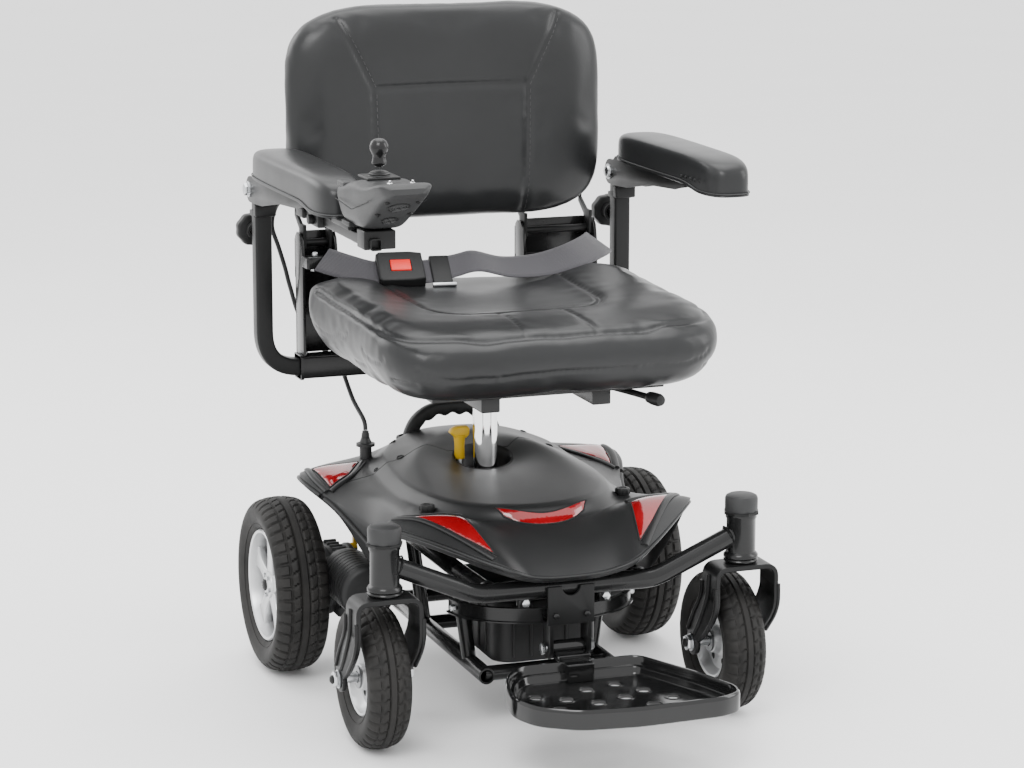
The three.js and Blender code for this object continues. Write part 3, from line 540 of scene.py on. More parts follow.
def drive_rim(tag, s):
    c = (s * DRIVE[0], DRIVE[1], DRIVE[2])
    out = (s, 0, 0)
    shape = Shape()
    shape.lathe([(72, -25), (72, 23), (73.2, 25.5), (71.6, 27.5), (68.5, 26.5), (66.5, 21), (65, -10),
                 (66, -24.5)],
                c, out, 96, loop=True)
    shape.lathe([(0, 24), (8, 24), (10, 23), (17, 21), (19, 17.5), (19.5, 6), (0, 6)], c, out, 64)
    shape.lathe([(0, -14), (18, -14), (19, -12), (19, 8), (0, 8)], c, out, 48)
    shape.lathe([(62, -12), (66.5, -13), (66.5, -9), (20, -4), (18.5, -8)], c, out, 64, loop=True, slot=1)
    edge = smooth_path([(15, 12), (28, 9.6), (42, 9.2), (56, 11.5), (67, 17.5)], 4)
    outline = [(w, v) for v, w in edge] + [(-w, v) for v, w in edge[::-1]]
    for k in range(5):
        a = 2 * math.pi * k / 5 + 0.35

        def space(u, v, d, a=a):
            return (c[0] + s * d, c[1] + v * math.cos(a) - u * math.sin(a),
                    c[2] + v * math.sin(a) + u * math.cos(a))
        shape.prism(outline, space, 8, 19, r=2.4, segments=3)
        mid = a + math.pi / 5
        bolt = (c[0], c[1] + 13.5 * math.cos(mid), c[2] + 13.5 * math.sin(mid))
        shape.hexagon((bolt[0] + s * 20, *bolt[1:]), (bolt[0] + s * 25, *bolt[1:]), 3.0, slot=2)
    shape.lathe([(0, 27.5), (5, 27.2), (7.4, 25.5), (7.8, 23), (0, 23)], c, out, 32, slot=1)
    piece(f"drive_wheel_rim_{tag}", shape, f"drive_wheel_{tag}", ["rim_silver", "plastic_black", "zinc"],
          "silver_rim", f"drive_rim_{tag}")


def caster_rim(tag, s):
    c = (s * CASTER[0], CASTER[1], CASTER[2])
    half = [(46.9, 0), (46.9, 15), (48.2, 17.2), (46.6, 18.6), (43.8, 17.6), (42.2, 12), (37, 6.2),
            (22, 5.2), (17.5, 8), (15.5, 16), (13.6, 17.2), (7.2, 17.2)]
    shape = Shape().lathe(half + [(r, -h) for r, h in half[:0:-1]], c, (1, 0, 0), 72, loop=True)
    # The six holes in the web are solid plugs of the dark groove colour: painted shade standing in for open
    # holes.
    for k in range(6):
        a = 2 * math.pi * k / 6
        hole = (c[1] + 29.5 * math.cos(a), c[2] + 29.5 * math.sin(a))
        shape.rod((c[0] - 5.9, *hole), (c[0] + 5.9, *hole), 4.6, sides=20, edge=0.2, slot=1)
    shape.lathe([(14, 17.3), (14, 19.5), (7.2, 19.5), (7.2, 17.3)], c, (1, 0, 0), 32, slot=2, loop=True)
    shape.lathe([(14, -17.3), (14, -19.5), (7.2, -19.5), (7.2, -17.3)], c, (1, 0, 0), 32, slot=2, loop=True)
    piece(f"caster_wheel_rim_{tag}", shape, f"caster_wheel_{tag}", ["rim_silver", "groove", "pale_steel"],
          "silver_rim", f"caster_rim_{tag}")


def caster_fork(tag, s):
    x0 = s * CASTER[0]
    shape = Shape()
    sheet = [(-3, -21), (-2.2, -22), (2.2, -22), (3, -21), (3, 21), (2.2, 22), (-2.2, 22), (-3, 21)]
    yoke = rounded_corners([(x0 - 39, STEM_Y, 158), (x0 - 39, STEM_Y, 199.3), (x0 + 39, STEM_Y, 199.3),
                            (x0 + 39, STEM_Y, 158)], 14)
    shape.sweep(yoke, sheet)
    foot = [(52 + 16 * math.cos(a), 89 + 16 * math.sin(a))
            for a in np.linspace(math.pi * 0.93, math.pi * 2.1, 16)]
    front = smooth_path([(-22, 176), (-21.6, 152), (-10, 132), (14, 108)], 6)
    rear = smooth_path([(66, 104), (50, 128), (30, 152), (22, 168), (22, 178)], 6)
    outline = [(STEM_Y + u, v) for u, v in [tuple(p) for p in front] + foot + [tuple(p) for p in rear]]
    for lo, hi, face in ((-42, -36, -42), (36, 42, 42)):
        shape.prism(outline, on_x, x0 + lo, x0 + hi, r=1.2)
        for line in (front[::2], rear[::2]):
            rib = [(x0 + face, STEM_Y + u * 0.96, v) for u, v in line]
            shape.tube(smooth_path(rib, 5), 2.6, 12)
    for face in (-1, 1):
        rib = [(x0 + face * 42, STEM_Y, 190), (x0 + face * 42.4, STEM_Y + 4, 160),
               (x0 + face * 42.4, STEM_Y + 26, 124), (x0 + face * 42, STEM_Y + 42, 104)]
        shape.tube(smooth_path(rib, 6), 3.0, 12)
    shape.lathe([(0, 198), (20, 198), (21, 200), (21, 202.6), (18, 203.6), (15, 204.2), (0, 204.2)],
                (x0, STEM_Y, 0), sides=40)
    y, z = CASTER[1], CASTER[2]
    shape.rod((x0 - 47, y, z), (x0 + 47, y, z), 5.8, slot=1, sides=24)
    shape.lathe([(6, -42.3), (11, -42.4), (11.4, -44), (6, -44)], (x0, y, z), (1, 0, 0), 32, slot=1,
                loop=True)
    shape.hexagon((x0 - 44, y, z), (x0 - 50, y, z), 10, slot=1)
    shape.lathe([(0, 54), (3, 53.6), (5.4, 51.6), (5.4, 49.5), (0, 49.5)], (x0, y, z), (-1, 0, 0), 24,
                slot=2)
    shape.hexagon((x0 + 43, y, z), (x0 + 50, y, z), 9.6, slot=1)
    piece(f"fork_{tag}", shape, f"caster_{tag}", ["satin_black", "zinc", "plastic_black"], "frame_paint",
          f"caster_fork_{tag}")
    cap = Shape()
    cap.rod((x0, STEM_Y, 264.5), (x0, STEM_Y, 268), 22.6, sides=8, edge=0.5, slot=1)
    cap.lathe([(0, 267), (19.5, 267), (20.3, 268.5), (20.3, 284), (19, 287), (16, 288.6), (0, 289)],
              (x0, STEM_Y, 0), sides=48)
    piece(f"barrel_cap_{tag}", cap, "base", ["cap_plastic", "satin_black"], "dark_plastic",
          f"caster_cap_{tag}")


for tag, s in SIDES:
    treaded_tyre(114.5, 70, 72, 44, 3.0, (s * DRIVE[0], *DRIVE[1:]), f"drive_wheel_{tag}",
                 f"drive_tread_{tag}", f"drive_tyre_{tag}")
    treaded_tyre(89, 54, 47, 36, 2.4, (s * CASTER[0], *CASTER[1:]), f"caster_wheel_{tag}",
                 f"caster_tread_{tag}", f"caster_tyre_{tag}")
    drive_rim(tag, s)
    caster_rim(tag, s)
    caster_fork(tag, s)
    tip = (s * 96, 330, 42)
    small = Shape().lathe([(4.8, -10), (24, -10), (27.5, -9), (29.6, -6.5), (30, 0), (29.6, 6.5), (27.5, 9),
                           (24, 10), (4.8, 10)], tip, (1, 0, 0), 56, loop=True)
    small.lathe([(5, -11), (15, -10.8), (17, -10.1), (17, 10.1), (15, 10.8), (5, 11)], tip, (1, 0, 0), 40,
                slot=1, loop=True)
    piece(f"anti_tip_roller_{tag}", small, f"anti_tip_{tag}", ["tyre", "cap_plastic"], "tyre_rubber",
          f"anti_tip_wheel_{tag}")

# ---- frames --------------------------------------------------------------------------------------
front = Shape()
front.tube(rounded_corners([(-226, STEM_Y, 241), (-115, STEM_Y, 193), (115, STEM_Y, 193),
                            (226, STEM_Y, 241)], 70, 10),
           12, 28)
for s in (-1, 1):
    x = s * 230
    front.lathe([(9.9, 205), (20.6, 205), (21.4, 206.5), (20.6, 208.2), (19.4, 209), (21.4, 210.5),
                 (21.4, 213), (19.6, 215.4), (18, 217), (18, 258), (19.2, 260), (19.2, 264), (9.9, 264)],
                 (x, STEM_Y, 0), sides=56,
                loop=True)
    front.lathe([(11.6, -1.6), (13.6, 0), (11.6, 1.8)], (x - s * 17, STEM_Y, 237.4), (s * 0.92, 0, 0.39),
                32, loop=True)
    front.tube([(s * 98, -205, 193), (s * 98, -96.5, 190)], 11, 28)
    front.lathe([(10.6, -1.6), (13, 0), (10.6, 1.8)], (s * 98, -197.5, 192.8), (0, 1, 0), 32, loop=True)
    front.block(s * 52 - 8, s * 52 + 8, -206, -196, 168, 186, r=1.2)
    front.hexagon((s * 52, -206, 176), (s * 52, -211, 176), 5.2, slot=1)
piece("front_tube_frame", front, "base", ["gloss_black", "zinc"], "frame_paint", "front_frame")

RAIL_X, RAIL_Z, UPPER_X, UPPER_Z, POST_Y = 81, 70, 98, 190, 89
rear = Shape()
for s in (-1, 1):
    rear.rod((s * RAIL_X, -150, RAIL_Z), (s * RAIL_X, 232, RAIL_Z), 10.5, bore=8.2)
    rear.rod((s * UPPER_X, -96, UPPER_Z), (s * UPPER_X, 236, UPPER_Z), 11, bore=9)
    for y in (-84, 96, 222):
        rear.tube([(s * RAIL_X, y, RAIL_Z), (s * UPPER_X, y, UPPER_Z)], 9, 24)
    rear.tube([(s * 75, 222, RAIL_Z), (s * 74, 310, 46)], 8, 24)
    rear.rod((s * 70, 330, 42), (s * 110, 330, 42), 4, slot=1)
    rear.hexagon((s * 107, 330, 42), (s * 112, 330, 42), 6.5, slot=1)
    plate = [(298, 40), (304, 34), (334, 34), (338, 42), (334, 52), (304, 56), (298, 54)]
    rear.prism(plate, on_x, s * 81.5 - 2.5, s * 81.5 + 2.5, r=0.8)
for y in (-138, 96, 222):
    rear.tube([(-RAIL_X, y, RAIL_Z), (RAIL_X, y, RAIL_Z)], 9.5, 24)
for y in (POST_Y, 222):
    rear.tube([(-UPPER_X, y, UPPER_Z), (UPPER_X, y, UPPER_Z)], 10, 24)
rear.lathe([(16.4, 196), (16.4, 262), (22, 262), (23, 261), (23, 181), (22, 180), (0, 180), (0, 196)],
           (0, POST_Y, 0), sides=48)
piece("base_tube_frame", rear, "base", ["gloss_black", "zinc"], "frame_paint", "base_frame")

arc = [(math.cos(a), math.sin(a)) for a in np.linspace(math.pi, 2 * math.pi, 60)]
strip = [(-2.5, -8.5), (-1.6, -9.5), (4.5, -9.5), (4.5, -8), (1.6, -7.6), (1.6, 7.6), (4.5, 8), (4.5, 9.5),
         (-1.6, 9.5), (-2.5, 8.5)]
band = Shape().sweep([(116.5 * u, -112 + 85.5 * v, 155.5) for u, v in arc], strip)
for s in (-1, 1):
    band.rod((s * 110, -128, 155), (s * 121, -128, 155), 4.4, slot=1, sides=6)
piece("curved_band", band, "base", ["gloss_black", "zinc"], "frame_paint", "front_band")


def box_plan(half, front_y, rear_y, corner, steps=8):
    turn = np.linspace(0, math.pi / 2, steps)
    left = [(-half + corner - corner * math.cos(a), front_y + corner - corner * math.sin(a)) for a in turn]
    right = [(half - corner + corner * math.sin(a), front_y + corner - corner * math.cos(a)) for a in turn]
    return [(-half, rear_y)] + left + right + [(half, rear_y)]


battery = Shape().prism(box_plan(68.5, -148, -12, 26), on_z, 83, 160, r=2.5, segments=3)
battery.prism(box_plan(70.5, -150, -11, 27), on_z, 160.6, 176, r=2.5, segments=3)
for x in (-46, -23, 0, 23, 46):
    battery.block(x - 1.6, x + 1.6, -150, -146, 90, 156, r=1.2)
for s in (-1, 1):
    for y in (-112, -84, -56, -28):
        battery.block(s * 69 - 1.5, s * 69 + 1.5, y - 1.6, y + 1.6, 90, 156, r=1.2)
piece("battery_case", battery, "base", ["plastic_black"], "dark_plastic", "battery_box")

handle_line = smooth_path(both_sides([(16, 224, 325.5), (36, 224, 320), (52, 224, 306), (61, 224, 282),
                                      (64, 224, 246), (65, 224, 201)]), 3)
ring = [(9 * math.copysign(abs(math.cos(a)) ** 0.6, math.cos(a)),
         8 * math.copysign(abs(math.sin(a)) ** 0.6, math.sin(a)))
        for a in np.linspace(0, 2 * math.pi, 25)[:-1]]
grip = Shape().sweep(handle_line, ring)
for v in grip.bm.verts:
    if abs(v.co.x) < 40 and v.co.z < 321:
        v.co.z += 2.0 * math.cos(2 * math.pi * v.co.x / 20)
for s in (-1, 1):
    grip.lathe([(11, -1), (15, -1), (14, 2), (11, 3)], (s * 62.5, 224, 289), (0, 0, 1), 32, loop=True)
piece("carry_handle", grip, "base", ["plastic_black"], "dark_plastic", "lift_handle", angle=60)

post = Shape().lathe([(0, 196), (15, 196), (16, 197), (16, 393), (15, 394), (0, 394)], (0, POST_Y, 0),
                     sides=72)
piece("chrome_post", post, "base", ["chrome"], "chrome", "seat_post")


def motor(tag, s):
    y, z = DRIVE[1], DRIVE[2]
    shape = Shape()
    shape.lathe([(0, 150), (42, 150), (46, 153), (46, 158), (44, 160), (44, 186), (46, 188), (46, 193),
                 (42, 196), (30, 197), (29, 205), (10, 206), (9, 230), (0, 230)], (0, y, z), (s, 0, 0), 56)
    fins = [(0, 54), (30, 54), (34, 57)]
    for k in range(9):
        fins += [(36, 60 + 10 * k), (36, 68 + 10 * k), (35, 68.6 + 10 * k), (35, 69.6 + 10 * k)]
    shape.lathe(fins + [(34, 160), (0, 160)], (s * 168, 0, z + 14), (0, 1, 0), 48, slot=2)
    for reach, near, far in ((43, 160, 184), (38, 184, 198)):
        lo, hi = sorted((s * near, s * far))
        shape.block(lo, hi, y - reach, y + reach, z - reach, z + reach, r=7)
    for k in (-28, -14, 0, 14, 28):
        lo, hi = sorted((s * 164, s * 181))
        shape.block(lo, hi, y + k - 2, y + k + 2, z + 40, z + 46, r=1)
        shape.block(lo, hi, y - 46, y - 40, z + k - 2, z + k + 2, r=1)
    lo, hi = sorted((s * 110, s * 152))
    shape.block(lo, hi, 110, 176, z + 10, z + 34, r=3)
    for k in range(8):
        a = 2 * math.pi * k / 8 + 0.2
        p = (y + 38 * math.cos(a), z + 38 * math.sin(a))
        shape.hexagon((s * 150, *p), (s * 146, *p), 3.4, slot=1)
        shape.hexagon((s * 194, *p), (s * 199, *p), 3.4, slot=1)
    piece(f"gearmotor_{tag}", shape, "base", ["cast_metal", "zinc", "plastic_black"], "cast_metal",
          f"drive_unit_{tag}")
    lever = Shape().rod((s * 140, 204, 150), (s * 149.4, 204, 150), 7)
    lever.prism([(199, 148), (209, 148), (208.5, 188), (210, 195), (204, 197), (198, 195), (199.5, 188)],
                on_x, *sorted((s * 140, s * 145)), r=1.4)
    piece(f"freewheel_handle_{tag}", lever, f"freewheel_lever_{tag}", ["yellow"], "yellow_paint",
          f"freewheel_lever_{tag}")


for tag, s in SIDES:
    motor(tag, s)

# ---- footplate and its hanger --------------------------------------------------------------------
TRAY = [(-72, -236), (82, -238), (106, -285), (128, -330), (148, -388), (143, -412), (118, -426),
        (10, -430), (-62, -420), (-106, -390), (-120, -352), (-112, -300), (-96, -262)]
HOLES = [(-72, -300), (-40, -318), (-8, -340), (-60, -350), (-30, -372), (8, -388), (36, -280), (60, -312),
         (30, -330), (84, -346), (52, -366), (98, -384), (62, -400), (-4, -290)]


def round_loop(points, radius, steps=6):
    """A closed outline with its corners rounded."""
    n = len(points)
    out = []
    for i in range(n):
        a, b, c = (np.array(points[(i + k - 1) % n], float) for k in range(3))
        u = (a - b) / np.linalg.norm(a - b)
        v = (c - b) / np.linalg.norm(c - b)
        back = min(radius, 0.45 * np.linalg.norm(a - b), 0.45 * np.linalg.norm(c - b))
        for k in range(steps + 1):
            t = k / steps
            out.append((1 - t) ** 2 * (b + u * back) + 2 * t * (1 - t) * b + t * t * (b + v * back))
    return out


def drawn_in(loop, by):
    """The outline moved inwards by that much; it runs anticlockwise or clockwise."""
    n = len(loop)
    area = sum(loop[i][0] * loop[(i + 1) % n][1] - loop[(i + 1) % n][0] * loop[i][1] for i in range(n))
    way = 1 if area > 0 else -1
    out = []
    for i in range(n):
        d = loop[(i + 1) % n] - loop[i - 1]
        d = d / max(1e-6, np.linalg.norm(d))
        out.append(loop[i] + way * by * np.array((-d[1], d[0])))
    return out


def tray_z(y, z):
    return z + 0.012 * (y + 238)


def footplate():
    rim = round_loop(TRAY, 16)
    shape = Shape()
    rows = []
    for inset, z in ((17, 83.4), (3, 83.2), (0.6, 84.6), (0, 87), (0, 103), (0.5, 106), (2, 107.8),
                     (4, 107.8), (5.4, 106), (6.2, 100), (7, 97.4), (9, 96.4), (10.6, 96), (11.6, 94.4),
                     (12.4, 89.6), (14, 87.6), (17, 87)):
        rows.append([(p[0], p[1], tray_z(p[1], z)) for p in drawn_in(rim, inset)])
    shape.grid(rows, caps=False)
    floor = [tuple(p) for p in drawn_in(rim, 17)]
    loops = [floor]
    for k, (x, y) in enumerate(HOLES):
        long = 9.5 if k % 3 else 8.0
        loops.append([(x + long * math.cos(a), y + 7.4 * math.sin(a))
                      for a in np.linspace(0, 2 * math.pi, 25)[:-1]])
    flat = [p for loop in loops for p in loop]
    tris = geometry.tessellate_polygon([[Vector((x, y, 0)) for x, y in loop] for loop in loops])
    part = bmesh.new()
    top = [part.verts.new((x, y, tray_z(y, 87))) for x, y in flat]
    low = [part.verts.new((x, y, tray_z(y, 83.4))) for x, y in flat]
    for a, b, c in tris:
        part.faces.new((top[a], top[b], top[c]))
        part.faces.new((low[c], low[b], low[a]))
    first = 0
    for loop in loops:
        n = len(loop)
        for i in range(n):
            a, b = first + i, first + (i + 1) % n
            part.faces.new((top[a], top[b], low[b], low[a]))
        first += n
    bmesh.ops.recalc_face_normals(part, faces=part.faces[:])
    shape.merge(part)
    for x, y in HOLES:
        shape.lathe([(9.6, 0), (11.4, 0), (11.0, 0.9), (10.0, 0.9)], (x, y, tray_z(y, 86.9)), (0, 0, 1), 24,
                    loop=True)
    y, z = -212, 118
    shape.rod((-21, y, z), (21, y, z), 9)
    shape.block(-20, 20, -240, y - 2, z - 12, z - 3, r=1.5)
    shape.block(-17, 17, -262, -232, 86, 110, r=2)
    shape.rod((-33, y, z), (33, y, z), 4.6, slot=1)
    for s in (-1, 1):
        shape.hexagon((s * 28.5, y, z), (s * 33.6, y, z), 7.4, slot=1)
    piece("foot_tray", shape, "footplate", ["tray_black", "zinc"], "frame_paint", "footplate")


footplate()
hanger = Shape()
notch = [(12 * math.cos(a), 198 + 12 * math.sin(a)) for a in np.linspace(math.pi, 2 * math.pi, 14)]
hanger.prism([(-30, 198), *notch, (30, 198), (30, 150), (-30, 150)], on_y, -227, -222.4, r=0.9)
hanger.block(-27, 27, -226, -200, 150, 156, r=1)
for x0 in (-27, 22):
    hanger.prism([(-226, 156), (-200, 156), (-200, 116), (-206, 106), (-218, 106), (-226, 116)], on_x, x0,
                 x0 + 5, r=0.9)
for s in (-1, 1):
    hanger.hexagon((s * 20, -227, 162), (s * 20, -230, 162), 4.2, slot=1)
piece("hanger_bracket", hanger, "base", ["satin_black", "gloss_black"], "frame_paint", "footplate_hanger")

# ---- shroud: lofted from the same rings as the solid, then split along the seam ------------------
def ellipse_ring(cy, rx, ry, z_front, z_back):
    out = []
    for i in range(10):
        a = i / 9 * math.pi
        rise = (1 - math.cos(a)) / 2
        out.append((rx * math.sin(a), cy - ry * math.cos(a), z_front + (z_back - z_front) * rise))
    return out


RINGS = [
    ellipse_ring(98, 41, 31, 276, 297),
    ellipse_ring(90, 84, 84, 279, 303),
    [(0, -131, 274), (42, -125, 274.5), (80, -104, 275), (108, -67, 275.5), (122, -16, 276), (127, 38, 276),
     (123, 100, 278), (109, 170, 287), (62, 215, 298), (0, 226, 301)],
    [(0, -142, 259), (50, -136, 260), (92, -116, 262), (122, -74, 262), (136, -18, 262), (140, 40, 262),
     (138, 110, 264), (130, 182, 268), (76, 236, 282), (0, 250, 284)],
    [(0, -190, 240), (58, -186, 246), (118, -150, 272), (176, -112, 269), (158, -40, 252), (156, 40, 250),
     (172, 110, 252), (186, 196, 266), (102, 262, 256), (0, 276, 256)],
    [(0, -235, 214), (52, -233, 218), (98, -226, 236), (202, -116, 264), (176, -54, 222), (172, 24, 222),
     (196, 106, 238), (217, 202, 258), (118, 284, 226), (0, 296, 222)],
    [(0, -229, 206), (50, -227, 208), (96, -219, 222), (196, -108, 246), (174, -50, 158), (172, 22, 168),
     (194, 104, 222), (212, 206, 243), (116, 284, 188), (0, 294, 184)],
]


def ring_curve(half, samples):
    """The closed ring through a half outline and its mirror image, with the same samples on every ring."""
    pts = [np.array(p, float) for p in half] + [np.array((-x, y, z), float) for x, y, z in half[-2:0:-1]]
    n = len(pts)
    out = []
    for k in range(samples):
        f = k * n / samples
        i = int(f)
        t = f - i
        a, b, c, d = pts[i - 1], pts[i], pts[(i + 1) % n], pts[(i + 2) % n]
        out.append(0.5 * (2 * b + (c - a) * t + (2 * a - 5 * b + 4 * c - d) * t * t
                          + (3 * b - a - 3 * c + d) * t ** 3))
    return np.array(out)


AROUND = 216
curves = [ring_curve(r, AROUND) for r in RINGS]


def between(a, b, c, d, t, near, far):
    """From ring b to ring c; near and far, 0 to 1, say how far the slope at each ring carries through it."""
    m0, m1 = (c - a) * 0.5 * near + (c - b) * (1 - near), (d - b) * 0.5 * far + (c - b) * (1 - far)
    t2, t3 = t * t, t ** 3
    return (2 * t3 - 3 * t2 + 1) * b + (t3 - 2 * t2 + t) * m0 + (-2 * t3 + 3 * t2) * c + (t3 - t2) * m1


CARRY = (1, 0.9, 0.12, 0.25, 0.9, 0.3, 1)

outer = []
for k in range(len(curves) - 1):
    a = curves[k - 1] if k else 2 * curves[0] - curves[1]
    d = curves[k + 2] if k + 2 < len(curves) else 2 * curves[-1] - curves[-2]
    for j in range(8):
        outer.append(between(a, curves[k], curves[k + 1], d, j / 8, CARRY[k], CARRY[k + 1]))
outer.append(curves[-1])


def inset_row(row, inward, down):
    out = row.copy()
    reach = np.hypot(row[:, 0], row[:, 1] - 70)
    k = (reach - inward) / reach
    out[:, 0] *= k
    out[:, 1] = 70 + (row[:, 1] - 70) * k
    out[:, 2] -= down
    return out


inner_rows = []
last = len(outer) - 1
for k, row in enumerate(outer):
    rim = k / last
    inner_rows.append(inset_row(row, 4.0 * min(1, max(0.0, rim - 0.1) * 4), 4.0 * min(1, (1 - rim) * 6)))
lip = [inset_row(outer[-1], 0.8, 1.2), inset_row(outer[-1], 2.0, 1.7), inset_row(outer[-1], 3.2, 1.2)]
shell = Shape().grid([list(map(tuple, r)) for r in outer + lip + inner_rows[::-1]]
                     + [list(map(tuple, outer[0]))], caps=False)
bmesh.ops.remove_doubles(shell.bm, verts=shell.bm.verts[:], dist=0.01)
bmesh.ops.recalc_face_normals(shell.bm, faces=shell.bm.faces[:])

top_skin = Shape().grid([list(map(tuple, r)) for r in outer], caps=False)
skin = BVHTree.FromBMesh(top_skin.bm)
top_skin.bm.free()


def on_skin(x, y, lift=0.0):
    """The point of the shroud's outer face above (x, y), and the way that the face looks there."""
    hit, normal, _, _ = skin.ray_cast(Vector((x, y, 500)), Vector((0, 0, -1)))
    if hit is None:
        hit, normal, _, _ = skin.find_nearest(Vector((x, y, 260)))
    if normal.z < 0:
        normal = -normal
    return hit + normal * lift, normal


shell_mesh = shell.mesh("shell")

SEAM = [(41, 116), (64, 138), (103, 121), (132, 134), (240, 134)]
seam_line = [(-x, y) for x, y in SEAM[::-1]] + SEAM


def clipped(outline):
    """The part of the shell over an outline."""
    tall = Shape().prism(outline, on_z, 100, 400, r=0)
    return cut(shell_mesh.copy(), tall.mesh("cutter"), "INTERSECT")


front_half = [(240, -300), (240, 133.3)] + [(x, y - 0.7) for x, y in seam_line[::-1]] + [(-240, -300)]
rear_half = [(-240, 340)] + [(x, y + 0.7) for x, y in seam_line] + [(240, 340)]
piece("shroud_front", clipped(front_half), "base", ["shroud"], "shroud_plastic",
      "front_shroud", angle=48)
piece("shroud_rear", clipped(rear_half), "base", ["shroud"], "shroud_plastic", "rear_shroud",
      angle=48)

FRONT_LENS = [(110, -141), (93, -216), (184, -112)]
REAR_LENS = [(139, 193), (166, 152), (195, 136), (203, 194)]


def inside(p, loop):
    x, y = p
    odd = False
    for (x1, y1), (x2, y2) in zip(loop, loop[1:] + loop[:1]):
        if (y1 > y) != (y2 > y) and x < (x2 - x1) * (y - y1) / (y2 - y1) + x1:
            odd = not odd
    return odd


def edge_distance(p, loop):
    best = 1e9
    for a, b in zip(loop, loop[1:] + loop[:1]):
        a, b, q = np.array(a), np.array(b), np.array(p)
        t = max(0.0, min(1.0, float((q - a) @ (b - a)) / max(1e-9, float((b - a) @ (b - a)))))
        best = min(best, float(np.linalg.norm(q - a - t * (b - a))))
    return best


def lens(name, loop, node, crown=1.6):
    """A lens that follows the shroud's face, a little domed, with a turned-down edge and a dark joint."""
    rim = [tuple(p) for p in loop]
    loops = []
    for a, b in zip(rim, rim[1:] + rim[:1]):
        n = max(1, int(math.hypot(b[0] - a[0], b[1] - a[1]) / 2.5))
        loops += [(a[0] + (b[0] - a[0]) * k / n, a[1] + (b[1] - a[1]) * k / n) for k in range(n)]
    xs, ys = [p[0] for p in rim], [p[1] for p in rim]
    fill = []
    for i, x in enumerate(np.arange(min(xs), max(xs), 3.0)):
        for y in np.arange(min(ys), max(ys), 3.0):
            p = (float(x), float(y) + (1.5 if i % 2 else 0))
            if inside(p, rim) and edge_distance(p, rim) > 1.6:
                fill.append(p)
    points = loops + fill
    edges = [(i, (i + 1) % len(loops)) for i in range(len(loops))]
    made = geometry.delaunay_2d_cdt([Vector(p) for p in points], edges, [], 1, 1e-4)
    part = bmesh.new()
    verts = []
    for p in made[0]:
        away = edge_distance(p, rim)
        spot, normal = on_skin(p.x, p.y, 0.7 + crown * min(1.0, away / 9) ** 0.6)
        verts.append(part.verts.new(spot))
    for f in made[2]:
        part.faces.new([verts[i] for i in f])
    bmesh.ops.recalc_face_normals(part, faces=part.faces[:])
    if sum(f.normal.z for f in part.faces) < 0:
        bmesh.ops.reverse_faces(part, faces=part.faces[:])
    rim_edges = [e for e in part.edges if e.is_boundary]
    down = bmesh.ops.extrude_edge_only(part, edges=rim_edges)
    bmesh.ops.translate(part, verts=[v for v in down["geom"] if isinstance(v, bmesh.types.BMVert)],
                        vec=(0, 0, -3.2))
    shape = Shape().merge(part)
    joint = [tuple(on_skin(x, y, 0.25)[0]) for x, y in loops]
    shape.tube(joint, 1.15, 8, slot=1, closed=True)
    piece(name, shape, "base", ["red_lens", "groove"], "red_lens", node, angle=60)


def oval(width, height):
    """A flattened round section, for a raised bead."""
    return [(width * math.cos(a), height * math.sin(a)) for a in np.linspace(0, 2 * math.pi, 15)[:-1]]


BEAD = 2.6


def border(shape, run, width):
    """A raised border of the shroud's own plastic along an open run of a lens edge."""
    line = smooth_path([(x, y, 0) for x, y in run], 3.0)
    shape.sweep([tuple(on_skin(p[0], p[1], BEAD * 0.2)[0]) for p in line], oval(width, BEAD))


def softened(loop, radius=4):
    return [tuple(p) for p in round_loop(loop, radius, 4)]


for tag, s in SIDES:
    lens(f"reflector_front_{tag}", softened([(s * x, y) for x, y in FRONT_LENS]), f"front_lens_{tag}")
    lens(f"reflector_rear_{tag}", softened([(s * x, y) for x, y in REAR_LENS]), f"rear_lens_{tag}")
arc_back = smooth_path(both_sides([(0, -136.5, 0), (30, -132, 0), (60, -119, 0)]), 4)
arc_front = smooth_path(both_sides([(0, -150, 0), (26, -146, 0), (52, -131, 0)])[::-1], 4)
lens("reflector_centre", [(p[0], p[1]) for p in arc_back + arc_front], "centre_lens", crown=1.0)

trim = Shape()
for s in (-1, 1):
    for run, wide in (([(186, -106), (140, -164), (96, -222)], 5.2),
                      ([(184, -104), (146, -122), (108, -134)], 4.2),
                      ([(207, 200), (208, 168), (200, 132)], 4.6),
                      ([(196, 129), (164, 146), (134, 190)], 4.0)):
        border(trim, [(s * x, y) for x, y in run], wide)
for low, high in ((-400, 131), (137, 400)):
    run = [tuple(p + np.array((0, 0, 1.5))) for p in np.roll(outer[-5], AROUND // 4, axis=0)
           if low < p[1] < high]
    gaps = [i for i in range(1, len(run)) if math.dist(run[i], run[i - 1]) > 30]
    if gaps:
        run = run[gaps[0]:] + run[:gaps[0]]
    trim.sweep(run, oval(5.2, BEAD))
piece("lens_borders", trim, "base", ["shroud"], "shroud_plastic", angle=70)

well = Shape()
rows = []
for k, (scale, drop) in enumerate(((1.03, -1.5), (1.0, 0.6), (0.94, 0.4), (0.9, -3), (0.86, -12),
                                   (0.8, -26), (0.62, -30))):
    rows.append([(x * scale, 98 + (y - 98) * scale, z + drop) for x, y, z in ring_curve(RINGS[0], 72)])
well.grid(rows, caps=False)
piece("post_well", well, "base", ["plastic_black"], "shroud_plastic", angle=60)

small_bits = Shape()
for s in (-1, 1):
    for x, y, r in ((s * 103, 127, 5.5), (s * 132, 140, 3.6)):
        spot, normal = on_skin(x, y)
        small_bits.lathe([(0, -1), (r, -1), (r, 0.5), (r - 1, 1.0), (r - 1.6, 0.2), (0, 0.2)], spot, normal,
                         24)
    spot, normal = on_skin(s * 92, 196)
    small_bits.lathe([(0, -1), (5, -1), (5, 0.6), (4, 1.0), (0, 0.9)], spot, normal, 20)
piece("shroud_fasteners", small_bits, "base", ["plastic_black"], "dark_plastic")

